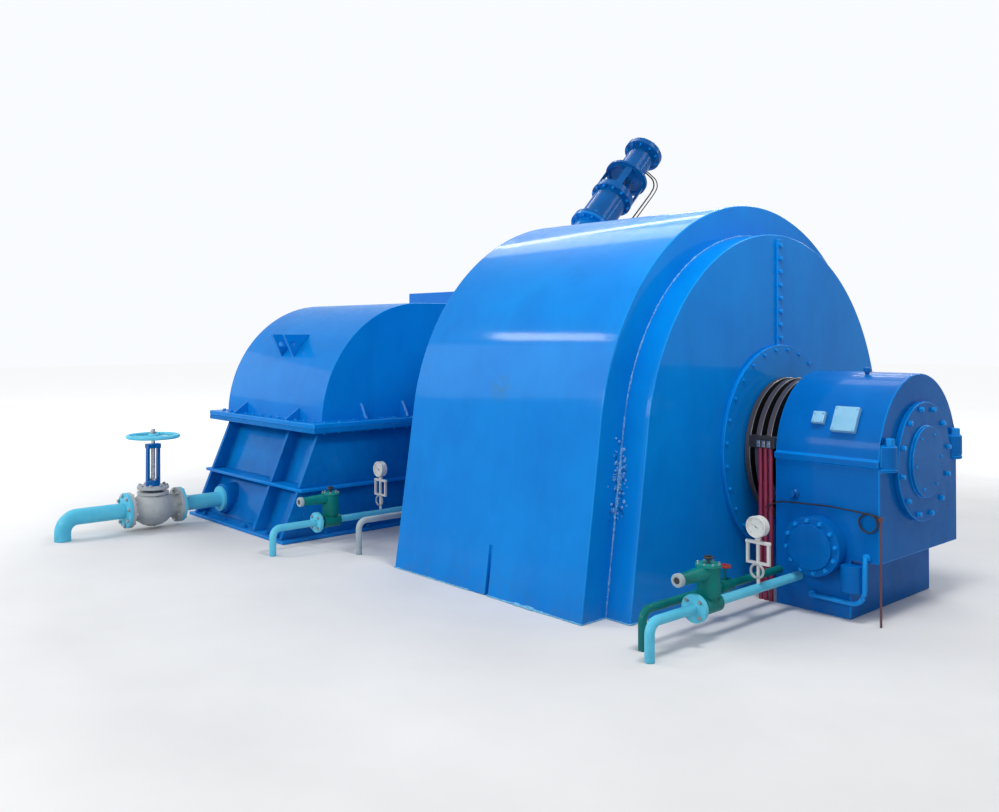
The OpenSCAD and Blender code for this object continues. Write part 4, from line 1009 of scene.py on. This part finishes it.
def area(name, place, aim, size, power, tint=(1, 1, 1), along=None, mirrored=True):
    """Rectangular lamp that faces aim, with its first side level or along a given direction. One that
    isn't mirrored shows in no reflection."""
    lamp = bpy.data.lights.new(name, "AREA")
    lamp.shape = "RECTANGLE"
    lamp.size, lamp.size_y = size
    lamp.energy = power
    lamp.color = tint
    back = (Vector(place) - Vector(aim)).normalized()
    side = Vector(along).normalized() if along else Vector(UP).cross(back).normalized()
    back = (back - back.dot(side) * side).normalized()
    turn = Matrix((side, back.cross(side), back)).transposed().to_4x4()
    made = into_scene(name, lamp)
    made.matrix_world = Matrix.Translation(place) @ turn
    made.visible_glossy = mirrored


def make_light():
    """Soft lamps over, before and behind the set, narrow ones whose reflections streak the hood, and a
    pale room that is white where it is seen and dimmer as a light."""
    warm = (1.0, 0.98, 0.95)
    area("ceiling_light", (-1.5, 4.8, 8.4), (-0.5, -0.2, 0.8), (16, 2.0), 480, warm)
    area("roof_bar", (-4.6, 5.0, 6.5), (-0.2, -0.5, 2.0), (7.0, 0.35), 115, warm, along=(4.2, 2.7, -1.2))
    area("near_light", (2.4, -1.6, 4.9), (0.83, -0.6, 1.4), (1.6, 0.8), 125, warm, mirrored=False)
    area("front_light", (-0.3, -10.5, 4.8), (-0.8, 0.0, 1.0), (14, 1.6), 550)
    area("rear_light", (-0.5, 9.0, 5.2), (-0.5, 0.0, 1.5), (14, 0.8), 240)
    area("tall_window", (-7.0, -7.15, 5.15), (0.0, -1.45, 1.35), (4.4, 3.9), 125, along=(2.55, -0.8, 1.1))
    area("window_bar", (-6.5, -5.7, 7.4), (0.0, -1.4, 1.55), (2.0, 0.55), 100, along=(2.6, -0.7, 0.9))
    area("end_window", (-10.8, -4.9, 3.6), (-2.7, -1.5, 1.2), (4.0, 3.6), 70)
    world = bpy.data.worlds.new("pale_room")
    world.use_nodes = True
    tree = world.node_tree
    room = tree.nodes["Background"]
    room.inputs["Color"].default_value = (0.95, 0.97, 1.0, 1)
    level = tree.nodes.new("ShaderNodeMapRange")
    level.inputs["To Min"].default_value = 0.29
    level.inputs["To Max"].default_value = 1.0
    tree.links.new(shows_background(tree), level.inputs["Value"])
    tree.links.new(level.outputs["Result"], room.inputs["Strength"])
    bpy.context.scene.world = world


# the pieces in turn: another order would give the bolts other chance turns
make_camera()
flaking()
foot_joint()
for side in (1, -1):
    drum_joint(side)
for side in (1, -1):
    cover_bolts(side)
bearing_lines()
for side in (1, -1):
    bearing_fittings(side)
turbine_bolts()
nozzle_bolts()
servo_lines()
casing_welds()
hood_welds()
anchor_bolts()
cable_lugs()
nozzle_welds()
gate_valve()
stem_thread()
wheel()
groups = ((NEAR_X, 0.0, "near"), (FAR_X, FAR_OUT, "far"))
for group in groups:
    gauge_face(*group)
stop_wheels()
for group in groups:
    cooling_fittings(*group)
make_stage()
make_light()
bpy.context.scene.view_settings.view_transform = "Standard"
